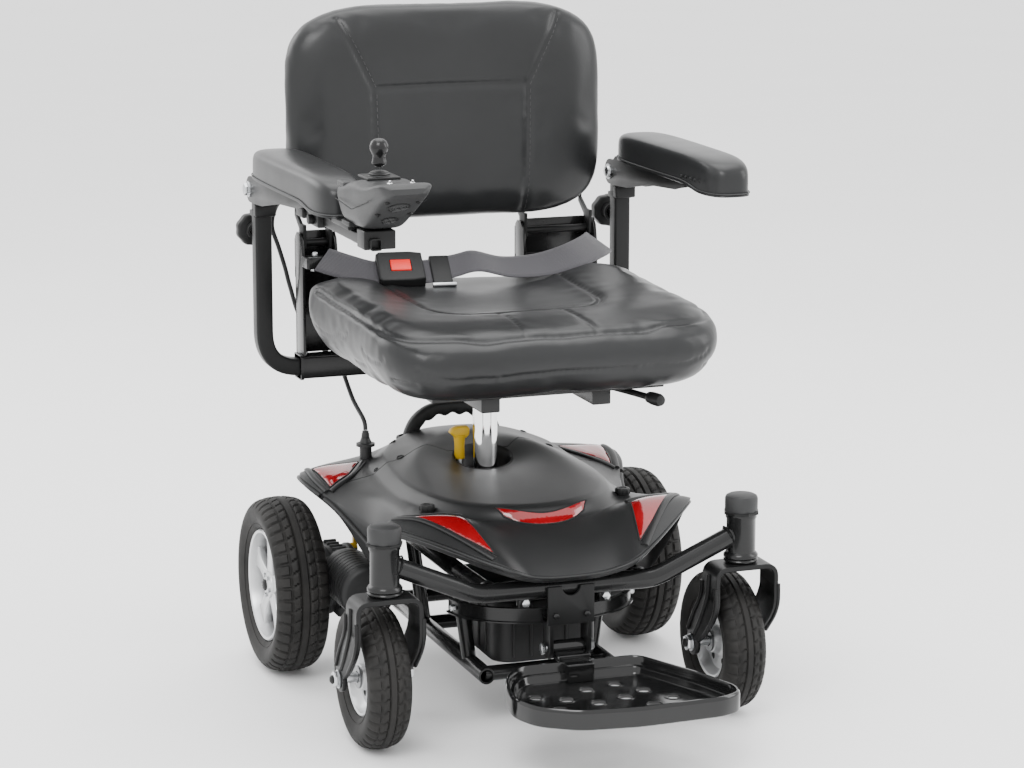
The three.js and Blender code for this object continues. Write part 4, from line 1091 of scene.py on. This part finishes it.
for tag, s in SIDES:
    x, y = s * 130, -66
    knob = Shape().lathe([(0, 238), (8.6, 238), (9, 239), (9, 262), (8.4, 262.4), (8.4, 264), (9.2, 264.6),
                          (9.4, 270), (8.4, 271.6), (5, 272), (4.4, 271.2), (0, 271)], (x, y, 0), sides=40)
    for k in range(10):
        a = 2 * math.pi * k / 10
        knob.rod((x + 9 * math.cos(a), y + 9 * math.sin(a), 265),
                 (x + 9 * math.cos(a), y + 9 * math.sin(a), 270.4), 1.1, sides=8, edge=0.3)
    piece(f"shroud_screw_{tag}", knob, f"shroud_knob_{tag}", ["plastic_black"], "dark_plastic",
          f"shroud_knob_{tag}")

lever = Shape().rod((-29, 106, 240), (-29, 106, 290), 5, slot=1)
lever.lathe([(0, 284), (6.4, 284), (7, 285.5), (6.4, 300), (7.4, 310), (8.5, 316), (0, 318)], (-29, 106, 0),
            sides=32)
lever.prism([(-43, 319), (-40, 324), (-33, 327.4), (-20, 327.4), (-16.5, 324), (-17, 316), (-21, 311.5),
             (-30, 310.5), (-37, 313.5)], on_y, 99.6, 112.4, r=2.4, segments=3)
piece("seat_release", lever, "release_lever", ["yellow", "pale_steel"], "yellow_paint", "release_lever")

# ---- seat frame, back frame and arm tubes --------------------------------------------------------
def square_section(half, r=3.0):
    corner = [(half - r + r * math.cos(a), half - r + r * math.sin(a))
              for a in np.linspace(0, math.pi / 2, 5)]
    out = []
    for k in range(4):
        c, q = math.cos(k * math.pi / 2), math.sin(k * math.pi / 2)
        out += [(u * c - v * q, u * q + v * c) for u, v in corner]
    return out


def square_tube(shape, a, b, half, wall, slot=0):
    """A straight square tube, open at both ends."""
    a, b = Vector(a), Vector(b)
    along = (b - a).normalized()
    up = Vector((0, 0, 1)) if abs(along.z) < 0.9 else Vector((0, 1, 0))
    side = along.cross(up)
    big, small = square_section(half), square_section(half - wall, 1.6)

    def ring_at(p, section):
        return [p + side * u + up * v for u, v in section]
    rows = [ring_at(a, big), ring_at(b, big), ring_at(b, small), ring_at(a, small), ring_at(a, big)]
    return shape.grid(rows, caps=False, slot=slot)


CHEEK = [(240, 404), (275, 404), (275, 560), (268, 566), (254, 566), (246, 558), (243, 545), (240, 530)]
BRACKETS = ((-199, -150), (108, 214))
ARM_X = 250
ARM_PIVOT = (251, 628)
seat = Shape()
square_tube(seat, (-204, 251, 390), (204, 251, 390), 15, 3.2)
for x in (-204, 200):
    square_tube(seat, (x, 251, 390), (x + 4, 251, 390), 16.4, 4.6)
seat.block(-150, 150, -150, 190, 417, 423.4, r=1.2)
for x in (-72, 72):
    seat.block(x - 12, x + 12, -140, 255, 398, 418, r=2)
seat.block(-72, 72, 59, 119, 396, 417.6, r=2)
seat.lathe([(16.4, 366), (23, 366), (24, 367.2), (24, 396), (16.4, 396)], (0, POST_Y, 0), sides=48,
           loop=True)
seat.hexagon((20, 84, 379), (30, 80, 379), 5, slot=1)
for x0, x1 in BRACKETS:
    seat.block(x0, x1, 271, 275, 404, 520, r=0.9)
    for lo, hi in ((x0, x0 + 4), (x1 - 4, x1)):
        seat.prism(CHEEK, on_x, lo, hi, r=0.8)
    seat.prism([(x0, 505), (x1, 505), (x1, 556), (x1 - 8, 566), (x0 + 8, 566), (x0, 556)], on_y, 274.4,
               277.6, r=0.9)
    for z in (438, 470):
        seat.rod(((x0 + x1) / 2, 275, z), ((x0 + x1) / 2, 278.2, z), 5.4, slot=1, sides=24)
seat.prism([(-200, 216), (-196, 214), (-164, 214), (-160, 216), (-160, 241), (-200, 241)], on_z, 524, 539,
           r=1.8)
seat.rod((-186, 226, 539), (-186, 226, 545), 3.4, slot=1)
seat.hexagon((-186, 226, 520), (-186, 226, 524.4), 6, slot=1)
seat.block(-146, -124, 262, 269, 371, 384, r=1.5)
for s in (-1, 1):
    seat.hexagon((s * 196, 251, 405), (s * 196, 251, 409), 6, slot=1)
piece("seat_tube_frame", seat, "seat", ["gloss_black", "zinc"], "frame_paint", "seat_frame")

back = Shape()
for x0, x1 in BRACKETS:
    for lo, hi in ((x0 + 4.6, x0 + 9), (x1 - 9, x1 - 4.6)):
        back.prism([(250, 546), (256, 540), (264, 540), (270, 546), (272, 570), (292, 584), (292, 630),
                    (288.4, 630), (288.4, 590), (266, 577), (250, 577)], on_x, lo, hi, r=0.6)
    back.rod((x0 + 0.4, 262, 552), (x1 - 0.4, 262, 552), 5)
back.block(-194.4, 209.4, 288.4, 292, 592, 660, r=1.5)
piece("back_hinge_frame", back, "backrest", ["satin_black", "zinc"], "frame_paint", "back_frame")

for tag, s in SIDES:
    tube_shape = Shape()
    bend = rounded_corners([(s * 124, 251, 390), (s * ARM_X, 251, 390), (s * ARM_X, *ARM_PIVOT)], 50, 14)
    tube_shape.sweep(bend, square_section(11, 3.2))
    tube_shape.rod((s * ARM_X - 11, *ARM_PIVOT), (s * ARM_X + 11, *ARM_PIVOT), 11)
    tube_shape.block(s * ARM_X - 14, s * ARM_X + 14, 229, 241, 594, 609.4, r=2)
    tube_shape.block(s * ARM_X - 13, s * ARM_X + 13, 239, 263.5, 592, 600, r=1.5)
    piece(f"armrest_tube_{tag}", tube_shape, "seat", ["satin_black"], "frame_paint", f"arm_tube_{tag}")
    knob = Shape().rod((s * ARM_X, 262.4, 568), (s * ARM_X, 292, 568), 5, slot=1)
    ring = [(21.4 + 0.6 * math.cos(9 * a), a) for a in np.linspace(0, 2 * math.pi, 71)[:-1]]
    knob.prism([(s * ARM_X + r * math.cos(a), 568 + r * math.sin(a)) for r, a in ring], on_y, 290, 306,
               r=3.2, segments=4)
    knob.lathe([(9, 0), (12, 0), (11, 14), (9, 15)], (s * ARM_X, 276, 568), (0, 1, 0), 32, loop=True)
    piece(f"clamp_knob_{tag}", knob, f"arm_knob_{tag}", ["plastic_black", "zinc"], "dark_plastic",
          f"arm_knob_{tag}")

lever = Shape().tube(smooth_path([(100, -60, 408), (104, -84, 408), (116, -140, 409.4), (126, -186, 410)],
                                 5), 4, 20)
lever.lathe([(0, 402), (8, 402), (9, 403), (9, 415.6), (8, 416.4), (0, 416.4)], (100, -60, 0), sides=40)
lever.lathe([(0, -14), (5, -14), (7, -12), (8, -4), (8, 8), (6.4, 12.6), (0, 14)], (125, -182, 410),
            (0.21, -0.98, 0), 32)
piece("swivel_handle", lever, "swivel_lever", ["plastic_black"], "dark_plastic", "swivel_lever")

# ---- armrest brackets and pads -------------------------------------------------------------------
for tag, s in SIDES:
    edge = [(12, 637), (24, 634), (110, 628), (191, 613.6), (236, 611)]
    edge += [(251 + 17 * math.sin(a), 628 - 17 * math.cos(a)) for a in np.linspace(0.1, math.pi - 0.1, 14)]
    edge += [(238, 645.6), (231, 651), (-9, 651), (-9, 641)]
    bracket = Shape()
    for lo, hi in ((s * ARM_X - 16, s * ARM_X - 12), (s * ARM_X + 12, s * ARM_X + 16)):
        bracket.prism(edge, on_x, lo, hi, r=1.0)
    bracket.block(s * ARM_X - 16, s * ARM_X + 16, -10, 230, 647.6, 651.4, r=0.9)
    bracket.rod((s * ARM_X - 17, *ARM_PIVOT), (s * ARM_X + 17, *ARM_PIVOT), 4, slot=1)
    for face in (-1, 1):
        bracket.lathe([(4, 16.1), (10.5, 16.1), (10.5, 17.6), (4, 17.6)], (s * ARM_X, *ARM_PIVOT),
                      (face, 0, 0), 32, slot=1, loop=True)
    bracket.hexagon((s * ARM_X + s * 17.4, *ARM_PIVOT), (s * ARM_X + s * 23, *ARM_PIVOT), 8, slot=1)
    bracket.lathe([(0, 22), (5, 22), (8, 20.5), (8.6, 17.4), (0, 17.4)], (s * ARM_X, *ARM_PIVOT),
                  (-s, 0, 0), 32, slot=1)
    for y in (60, 160):
        bracket.rod((s * ARM_X, y, 644), (s * ARM_X, y, 647.8), 5, slot=1, sides=24)
    piece(f"armrest_bracket_{tag}", bracket, f"armrest_{tag}", ["satin_black", "zinc"], "frame_paint",
          f"arm_bracket_{tag}")


PAD_Y, PAD_HALF = 40, 172       # the middle and half the length of an arm pad


def arm_pad(tag, s):
    """A moulded arm pad: rounded in plan, crowned on top, deeper at the front, with a skirt seam below."""
    count = 96

    def outline(j):
        """The pad's side and length factors at one of its turns, with y, the step in depth and the waist."""
        a = 2 * math.pi * j / count
        c, q = math.cos(a), math.sin(a)
        px = abs(c) ** (2 / 3.4) * math.copysign(1, c)
        py = abs(q) ** (2 / 5.2) * math.copysign(1, q)
        y = PAD_Y + PAD_HALF * py
        return px, py, y, 7.4 / (1 + math.exp((y + 66) / 10)), 1 - 0.07 * math.exp(-((y + 40) / 70) ** 2)

    rows = []
    for k in range(25):
        t = k / 24
        turn = []
        for j in range(count):
            px, py, y, deep, waist = outline(j)
            low = 652 - deep
            if t < 0.08:
                inset, z = 1 - 0.07 * (1 - t / 0.08), low
            elif t < 0.16:
                inset, z = 1.0, low + 3.0 * (t - 0.08) / 0.08
            elif t < 0.24:
                inset, z = 0.985, low + 3.0 + 1.6 * (t - 0.16) / 0.08
            else:
                f = (t - 0.24) / 0.76
                arc = math.pi / 2 * f
                inset = 0.985 * (1 - f ** 3.4) ** 0.5
                if k == 24:
                    inset = 0.03
                nose = max(0.0, (-(PAD_Y + PAD_HALF * py * inset) - 60) / 72) ** 2
                z = low + 4.6 + (690.2 - 3 * nose - low - 4.6) * math.sin(arc) ** 0.62
                z += 1.2 * (1 - abs(px * inset) ** 2) * f
            turn.append((s * ARM_X + 34.4 * px * inset * waist,
                         PAD_Y + PAD_HALF * py * max(inset, 0.02), z))
        rows.append(turn)
    shape = Shape().grid(rows, caps=True)
    bmesh.ops.remove_doubles(shape.bm, verts=shape.bm.verts[:], dist=0.05)
    stitch = []
    for j in range(count):
        px, py, y, deep, waist = outline(j)
        stitch.append((s * ARM_X + 34.6 * px * waist, y + 0.2 * py, 655.8 - deep))
    shape.tube(stitch, 0.8, 8, slot=1, closed=True)
    ob = piece(f"armrest_pad_{tag}", shape, f"armrest_{tag}", ["leatherette", "thread"], "upholstery",
               f"arm_pad_{tag}", angle=60)


for tag, s in SIDES:
    arm_pad(tag, s)
# The arm pad's vents are dark discs on its inner side: painted shade in place of open holes.
vent_shade_discs = Shape()
for k in range(5):
    vent_shade_discs.rod((215.2 + 0.2 * k, -40 - 14 * k, 661), (217.2, -40 - 14 * k, 661), 2.2, sides=16, edge=0.2)
piece("pad_vents_painted_shade", vent_shade_discs, "armrest_l", ["groove"], "dark_plastic")

# ---- controller ----------------------------------------------------------------------------------
POD = [(-166, 32, 653, 689), (-169, 35.4, 649, 692), (-176, 37, 647, 694), (-196, 38, 646, 697.5),
       (-214, 38, 646, 702), (-236, 38, 647, 705.5), (-248, 38, 652, 705.2), (-266, 37.8, 662, 704.6),
       (-284, 37.4, 672, 705.4), (-302, 36.4, 682, 708.4), (-316, 34.6, 689, 711), (-328, 31, 695, 711),
       (-336, 22, 700, 707)]
table = np.array(smooth_path([(y, w, lo) for y, w, lo, hi in POD], 3.0))
top_table = np.array(smooth_path([(y, w, hi) for y, w, lo, hi in POD], 3.0))
rows = []
for y in np.linspace(-166, -336, 60):
    w = np.interp(-y, -table[:, 0], table[:, 1])
    lo = np.interp(-y, -table[:, 0], table[:, 2])
    hi = np.interp(-y, -top_table[:, 0], top_table[:, 2])
    turn = []
    for a in np.linspace(0, 2 * math.pi, 57)[:-1]:
        u = math.copysign(abs(math.cos(a)) ** 0.42, math.cos(a))
        v = math.copysign(abs(math.sin(a)) ** 0.46, math.sin(a))
        narrow = 1 - 0.27 * ((1 - v) / 2) ** 1.3
        turn.append((-238 + w * u * narrow, float(y),
                     (lo + hi) / 2 + (hi - lo) / 2 * v - 1.6 * max(0, v) * (1 - u * u) * 0.4))
    rows.append(turn)
pod = Shape().grid(rows, caps=True)
pod.block(-272, -256, -196, -168, 690, 697, r=2, slot=0)


down = Vector((0, -0.485, -0.874))
for (y, z), r in (((-300, 680.2), 11.5), ((-264, 660.2), 8.5)):
    spot = Vector((-238, y, z))
    pod.lathe([(0, -1), (r + 1.6, -1), (r + 1.6, 0.5), (r + 0.4, 0.9), (r, 0.1), (0, 0.1)], spot, down,
              40, 1)
    for k in (0.3, 0.55, 0.8):
        pod.lathe([(r * k, 0), (r * k + 0.9, 0.8), (r * k + 1.6, 0)], spot, down, 36, 0, loop=True)
    for a in np.linspace(0, 2 * math.pi, 7)[:-1]:
        turn = down.to_track_quat("Z", "Y").to_matrix()
        a0 = spot + turn @ Vector((2 * math.cos(a), 2 * math.sin(a), 0.5))
        a1 = spot + turn @ Vector((r * math.cos(a), r * math.sin(a), 0.5))
        pod.tube([a0, a1], 0.6, 8)
for x, y, z in ((-256, -314, 687.6), (-220, -314, 687.6), (-257, -280, 669.2), (-219, -280, 669.2)):
    pod.lathe([(0, -1), (3, -1), (3, 0.6), (1.6, 1.0), (1.4, 0.3), (0, 0.3)], (x, y, z), down, 24, 1)
for x, y in ((-252, -310), (-226, -313)):
    pod.lathe([(0, 0), (3.0, 0), (3.0, 1.4), (1.4, 1.8), (1.2, 4.2), (0, 4.6)], (x, y, 709),
              (0, -0.2, 0.98), 20, 2)
pod.block(-258, -218, -246, -206, 704, 707.6, r=1.4, slot=1)
pod.block(-268, -208, -204, -172, 645.4, 651, r=1.5, slot=1)
pod.tube(rounded_corners([(-275.6, -176, 676), (-275.8, -240, 672), (-273, -296, 688)], 30), 0.6, 8, slot=3)
pod.tube(rounded_corners([(-200.4, -176, 676), (-200.2, -240, 672), (-203, -296, 688)], 30), 0.6, 8, slot=3)
piece("controller_housing", pod, "armrest_r", ["pod_plastic", "plastic_black", "chrome", "groove"],
      "dark_plastic", "controller_pod", angle=50)
JOYSTICK = (-238, -226, 0)
boot = Shape().lathe([(0, 702), (14.9, 702), (14.9, 703.4), (13.4, 705.4), (14.2, 706.6), (12.4, 708.6),
                      (13, 709.8), (10.4, 711), (10.4, 711.8), (7.4, 713), (0, 713.4)], JOYSTICK,
                      sides=48)
piece("joystick_bellows", boot, "joystick_boot", ["soft_rubber"], "soft_rubber", "joystick_boot")
stick = Shape().lathe([(0, 717.5), (3.6, 717.5), (7.4, 720.2), (8.9, 721.6), (8.5, 723.4), (7.7, 727),
                       (7.4, 730.4), (9.2, 733.4), (10.9, 738), (10.7, 742.4), (9, 746.8), (5.6, 749.6),
                       (0, 750.5)],
                      JOYSTICK, sides=56)
piece("joystick_knob", stick, "joystick_stick", ["gloss_black"], "dark_plastic", "joystick_stick", angle=60)
button = Shape().lathe([(0, 702), (5.6, 702), (5.9, 703), (5.9, 707), (5.2, 708), (0, 707.6)],
                       (-238, -296, 0), sides=40)
piece("power_key", button, "power_button", ["plastic_black"], "dark_plastic", "power_button")
bar = Shape()
square_tube(bar, (-250, 52, 631), (-250, -252, 631), 7, 1.6)
bar.block(-262, -238, -180, -110, 637.6, 645, r=1.5)
bar.block(-264, -236, -60, -20, 622.4, 639.4, r=2)
bar.block(-261, -239, 18, 50, 623, 640, r=2)
bar.rod((-264, -40, 631), (-271, -40, 631), 6, slot=1, sides=24)
bar.rod((-250, -172, 622), (-250, -172, 638), 4, slot=2, sides=24)
bar.block(-262, -224, -244, -214, 624, 646, r=1.6)
piece("controller_rail", bar, "armrest_r", ["satin_black", "plastic_black", "zinc"], "frame_paint",
      "controller_bar")

# ---- lap belt and buckle -------------------------------------------------------------------------
BELT_PATH = [(-182, 206, 538), (-160, 182, 532), (-127.5, 162.7, 524.2), (-92, 157, 524.2),
             (-56.5, 151.3, 524.2), (-20, 149, 530), (8, 146, 535), (50, 146, 525), (100, 152, 524),
             (150, 164, 532), (186, 188, 538), (204, 210, 540)]
BELT_TILT = 0.55


def strap(name, points, width, thick, tilt):
    """A flat strap along a line, with rounded edges and a UV map that runs along it and across it."""
    line = [Vector(p) for p in smooth_path(points, 3)]
    half = [(a, thick / 2) for a in np.linspace(-width / 2 + 0.8, width / 2 - 0.8, 9)]
    loop = half + [(width / 2, 0)] + [(a, -b) for a, b in half[::-1]] + [(-width / 2, 0)]
    verts, faces, uvs = [], [], []
    travelled = 0.0
    stations = []
    for i, p in enumerate(line):
        along = line[min(i + 1, len(line) - 1)] - line[max(i - 1, 0)]
        along.z = 0
        along.normalize()
        lean = tilt + 0.05 * math.sin(travelled / 47)
        across = Vector((-along.y * math.cos(lean), along.x * math.cos(lean), math.sin(lean)))
        normal = along.cross(across)
        if i:
            travelled += (p - line[i - 1]).length
        stations.append(travelled)
        verts += [at(*(p + across * a + normal * b)) for a, b in loop]
    n = len(loop)
    for i in range(len(line) - 1):
        for j in range(n):
            k = (j + 1) % n
            faces.append((i * n + j, i * n + k, (i + 1) * n + k, (i + 1) * n + j))
            corners = ((0, j), (0, k), (1, k), (1, j))
            uvs += [(stations[i + d] / travelled, loop[m][0] / width + 0.5) for d, m in corners]
    faces += [tuple(range(n))[::-1], tuple(range((len(line) - 1) * n, len(line) * n))]
    uvs += [(0, q[0] / width + 0.5) for q in loop[::-1]] + [(1, q[0] / width + 0.5) for q in loop]
    me = bpy.data.meshes.new(name)
    me.from_pydata(verts, [], faces)
    me.uv_layers.new(name="along").data.foreach_set("uv", [c for q in uvs for c in q])
    part = bmesh.new()
    part.from_mesh(me)
    bmesh.ops.recalc_face_normals(part, faces=part.faces[:])
    part.to_mesh(me)
    part.free()
    return me


piece("lap_strap", strap("lap_strap", BELT_PATH, 44, 2.2, BELT_TILT), "seat", ["webbing"], "webbing",
      "lap_belt", angle=60)


HELD = (Matrix.Translation((-92, 157, 524.2)) @ Matrix.Rotation(-0.16, 4, "Z")
        @ Matrix.Rotation(BELT_TILT, 4, "X"))
case = Shape().prism([(-30, -24), (-26, -28), (14, -28), (30, -25), (30, 25), (14, 28), (-26, 28),
                       (-30, 24)], on_z,
                      -8, 12, r=2.6, segments=4)
hole = Shape().block(-40, 40, -23, 23, -3.4, 3.4, r=1.0)
hole.block(-14, 14, -11, 11, 5.6, 20, r=1.2)
hole.bm.transform(HELD)
case.bm.transform(HELD)
piece("buckle_body", cut(case.mesh("buckle_body"), hole.mesh("hole"), "DIFFERENCE"), "seat",
      ["plastic_black"], "dark_plastic", "buckle")
piece("buckle_press_key", Shape().block(-13.2, 13.2, -10.2, 10.2, 8.5, 13.4, r=1.3, matrix=HELD),
      "buckle_button", ["red_plastic"], "red_plastic", "buckle_button")
slider = Shape().block(40, 66, -27, 27, -2.4, 4.2, r=2.2, matrix=HELD)
slider.rod(HELD @ Vector((39, -27.5, 1)), HELD @ Vector((70, -27.5, 1)), 3.0, slot=1)
piece("strap_slider", slider, "seat", ["plastic_black", "zinc"], "dark_plastic")

# ---- cushions: a form swelled by cloth pressure, then seams, folds and thread -----------
def ringed_form(outline, profile, place):
    """Rings of one outline, scaled and raised by the profile's pairs and set out by place."""
    return Shape().grid([[place(u * s, v * s, s, level) for u, v in outline] for s, level in profile])


def squarish(power, count=120):
    out = []
    for a in np.linspace(0, 2 * math.pi, count + 1)[:-1]:
        c, q = math.cos(a), math.sin(a)
        out.append((math.copysign(abs(c) ** (2 / power), c), math.copysign(abs(q) ** (2 / power), q)))
    return out


def swelled(shape, name, voxel, cap, box, pressure=4.0):
    """The form remeshed evenly, then blown up by a short cloth run; no point moves further than cap.
    The result is fitted to a box, since the run draws the cover in at its edges."""
    ob = linked(name, shape.mesh(name))
    even = ob.modifiers.new("even", "REMESH")
    even.mode = "VOXEL"
    even.voxel_size = voxel * MM
    me = evaluated_mesh(ob)
    ob.modifiers.clear()
    ob.data = me
    count = len(me.vertices)
    rest = np.empty(count * 3)
    me.vertices.foreach_get("co", rest)
    cloth = ob.modifiers.new("cloth", "CLOTH")
    cloth.settings.use_pressure = True
    cloth.settings.uniform_pressure_force = pressure
    cloth.settings.quality = 5
    cloth.settings.mass = 0.3
    cloth.settings.tension_stiffness = 15
    cloth.settings.compression_stiffness = 15
    cloth.settings.shear_stiffness = 5
    cloth.settings.bending_stiffness = 0.5
    cloth.settings.effector_weights.gravity = 0
    cloth.point_cache.frame_start = 1
    cloth.point_cache.frame_end = 20
    for f in range(1, 21):
        scene.frame_set(f)
    done = evaluated_mesh(ob)
    ob.modifiers.clear()
    scene.frame_set(1)
    moved = np.empty(count * 3)
    done.vertices.foreach_get("co", moved)
    bpy.data.meshes.remove(done)
    step = (moved - rest).reshape(-1, 3)
    reach = np.linalg.norm(step, axis=1, keepdims=True)
    limit = cap * MM
    step *= np.minimum(1.0, limit * np.tanh(reach / limit) / np.maximum(reach, 1e-9))
    me.vertices.foreach_set("co", (rest.reshape(-1, 3) + step).ravel())
    part = bmesh.new()
    part.from_mesh(me)
    for _ in range(3):
        bmesh.ops.smooth_vert(part, verts=part.verts[:], factor=0.5, use_axis_x=True, use_axis_y=True,
                              use_axis_z=True)
    part.to_mesh(me)
    part.free()
    sub = ob.modifiers.new("finer", "SUBSURF")
    sub.levels = sub.render_levels = 1
    fine = evaluated_mesh(ob)
    bpy.data.objects.remove(ob)
    fine.transform(Matrix.Translation((0, -SHIFT, 0)) @ Matrix.Scale(1000, 4))
    lo, hi = box
    flat = np.empty(len(fine.vertices) * 3)
    fine.vertices.foreach_get("co", flat)
    flat = flat.reshape(-1, 3)
    low, high = flat.min(axis=0), flat.max(axis=0)
    flat = np.array(lo) + (flat - low) * (np.array(hi) - np.array(lo)) / (high - low)
    fine.vertices.foreach_set("co", flat.ravel())
    return fine


def search_tree(me):
    part = bmesh.new()
    part.from_mesh(me)
    tree = BVHTree.FromBMesh(part)
    part.free()
    return tree


def on_form(me, points, towards, step=4.0):
    """A line's points dropped onto a form along one direction."""
    tree = search_tree(me)
    out = []
    for p in smooth_path(points, step):
        start = Vector(p) - Vector(towards) * 120
        hit, normal, _, _ = tree.ray_cast(start, Vector(towards))
        if hit is None:
            hit, normal, _, _ = tree.find_nearest(Vector(p))
        out.append((hit, normal))
    return out


def sewn(me, seams, depth, width, pucker, seed):
    """Draws the cover in along its seams, with small folds that run off them."""
    spots = [p for seam in seams for p, _ in seam]
    tree = kdtree.KDTree(len(spots))
    for i, p in enumerate(spots):
        tree.insert(p, i)
    tree.balance()
    part = bmesh.new()
    part.from_mesh(me)
    part.normal_update()
    moves = []
    for v in part.verts:
        _, _, d = tree.find(v.co)
        dip = -depth * math.exp(-(d / width) ** 2)
        broad = noise.noise(v.co * 0.011 + Vector((seed, 0, 0))) * 0.5
        fold = noise.noise(Vector((v.co.x * 0.05, v.co.y * 0.05, v.co.z * 0.05 + seed))) * pucker
        dip += fold * math.exp(-(d / 30) ** 2) * (1 - math.exp(-(d / 7) ** 2)) + broad
        moves.append(v.normal * dip)
    for v, m in zip(part.verts, moves):
        v.co += m
    part.to_mesh(me)
    part.free()
    return me


def stitches(shape, me, seam, off, slot):
    """A run of short stitches beside a seam, on the cover."""
    tree = search_tree(me)
    pts = [p for p, _ in seam]
    for i in range(0, len(pts) - 2, 2):
        along = (pts[i + 1] - pts[i]).normalized()
        side = along.cross(seam[i][1])
        ends = []
        for k in (0.0, 1.2):
            q = pts[i].lerp(pts[i + 1], k) + side * off
            hit, normal, _, _ = tree.find_nearest(q)
            ends.append(hit + normal * 0.1)
        if (ends[1] - ends[0]).length > 1:
            shape.tube(ends, 0.55, 6, slot)


def cushion(name, me, seams, body, node):
    shape = Shape()
    shape.bm.from_mesh(me)
    for seam in seams:
        stitches(shape, me, seam, 3.6, 1)
    ob = piece(name, shape, body, ["leatherette", "thread"], "upholstery", node, angle=80)
    return ob


def seat_top(x, y):
    """The height of the seat's upper face: raised sides and rear, a shallow dish and a falling front."""
    aft = (y + 6) / 212
    side = min(1.0, abs(x / 222)) ** 4
    dish = 1 / (1 + math.exp(-(112 - abs(x)) / 10)) / (1 + math.exp(-(y + 62) / 12))
    raised = 24 * side * (1 - 0.5 * max(0, -aft))
    front = 18 * max(0, -aft - 0.55)
    ridge = (8 + 6 * side) * max(0, aft) ** 1.5
    return 499 + raised - front - 7 * dish + ridge


def seat_place(u, v, s, level):
    x, y = 220 * u, -6 + 210 * v
    top = seat_top(x, y)
    if level < 0.5:
        x, y = x * (0.9 + 0.2 * level), -6 + (y + 6) * (0.93 + 0.14 * level)
    return (x, y, 425 + (top - 3 - 425) * level)


seat_profile = [(0.02, 0), (0.4, 0), (0.8, 0), (0.94, 0.02), (0.985, 0.1), (1.0, 0.25), (1.0, 0.5),
                (1.0, 0.72), (0.99, 0.86), (0.965, 0.95), (0.92, 0.99), (0.86, 1), (0.8, 1), (0.74, 1),
                (0.68, 1), (0.62, 1), (0.56, 1), (0.5, 1), (0.44, 1), (0.38, 1), (0.3, 1), (0.2, 1),
                (0.1, 1), (0.02, 1)]
seat_form = swelled(ringed_form(squarish(6), seat_profile, seat_place), "seat_form", 6, 8,
                    ((-221.5, -217.5, 424.6), (221.5, 205.5, 524)))
SPLIT_SEAM = [(40, -72, 500), (42, -130, 500), (46, -192, 500)]
seat_lines = [
    both_sides([(40, -72, 500), (84, -60, 500), (112, -30, 500), (118, 20, 500), (120, 120, 500),
                (121, 196, 500)]),
    both_sides([(0, -197, 480), (100, -194, 480), (176, -182, 480), (204, -150, 500), (211, -90, 500),
                (213, 20, 500), (214, 120, 500)]),
    [(-x, y, z) for x, y, z in SPLIT_SEAM],
    SPLIT_SEAM,
]
seat_seams = [on_form(seat_form, line, (0, 0, -1)) for line in seat_lines]
around = [(219 * u, -6 + 209 * v, 446) for u, v in squarish(7, 90)]
seat_seams.append(on_form(seat_form, around + [around[0]], (0, 0, 0.0001)))
sewn(seat_form, seat_seams[:2], 3.0, 4.6, 0.8, 3.0)
sewn(seat_form, seat_seams[2:], 1.6, 3.2, 0.6, 3.0)
cushion("seat_pad", seat_form, [], "seat", "seat_cushion")


def back_place(u, v, s, level):
    shoulder = 1 - (0.2 if v > 0 else 0.1) * v ** 6
    x, z = 207 * u * shoulder, 720.5 + 136 * v
    y = 252 + 6 * v + 31 * level
    if level < 0:
        y += 5 * math.exp(-(x / 150) ** 2) * (1 - abs(v) ** 3)
    return (x, y, z)


back_profile = [(0.02, -1), (0.2, -1), (0.4, -1), (0.6, -1), (0.8, -0.99), (0.9, -0.93), (0.96, -0.76),
                (0.99, -0.45), (1.0, 0), (0.99, 0.45), (0.96, 0.76), (0.9, 0.93), (0.8, 0.99), (0.6, 1),
                (0.4, 1), (0.2, 1), (0.02, 1)]
back_form = swelled(ringed_form(squarish(5), back_profile, back_place), "back_form", 6, 8,
                    ((-216, 214.5, 580), (216, 287.6, 861)))
back_lines = [both_sides([(0, 218, 756), (50, 218, 756), (106, 218, 755)])]
for half in ([(100, 220, 588), (104, 218, 660), (106, 218, 755)],
             [(106, 218, 755), (128, 218, 800), (152, 222, 846)]):
    back_lines += [[(s * x, y, z) for x, y, z in half] for s in (-1, 1)]
back_seams = [on_form(back_form, line, (0, 1, 0)) for line in back_lines]
edge_loop = [back_place(u, v, 1, 0) for u, v in squarish(5, 90)]
back_seams.append(on_form(back_form, edge_loop + [edge_loop[0]], (0, 0.0001, 0)))
sewn(back_form, back_seams, 2.6, 4.2, 0.8, 9.0)
cushion("back_pad", back_form, back_seams[1:5], "backrest", "back_cushion")

# ---- ground --------------------------------------------------------------------------------------
ground = bpy.data.meshes.new("ground")
ground.from_pydata([(-90, -90, -0.0006), (90, -90, -0.0006), (90, 90, -0.0006), (-90, 90, -0.0006)], [],
                   [(0, 1, 2, 3)])
MAT["floor"] = surface("floor", grey(0.88, 1.0), grey(0.9, 1.0), (0.5, 0.6), patch=1.5, bump=0.02, grain=60)
finish_mesh(ground, ["floor"])
floor = linked("ground", ground)
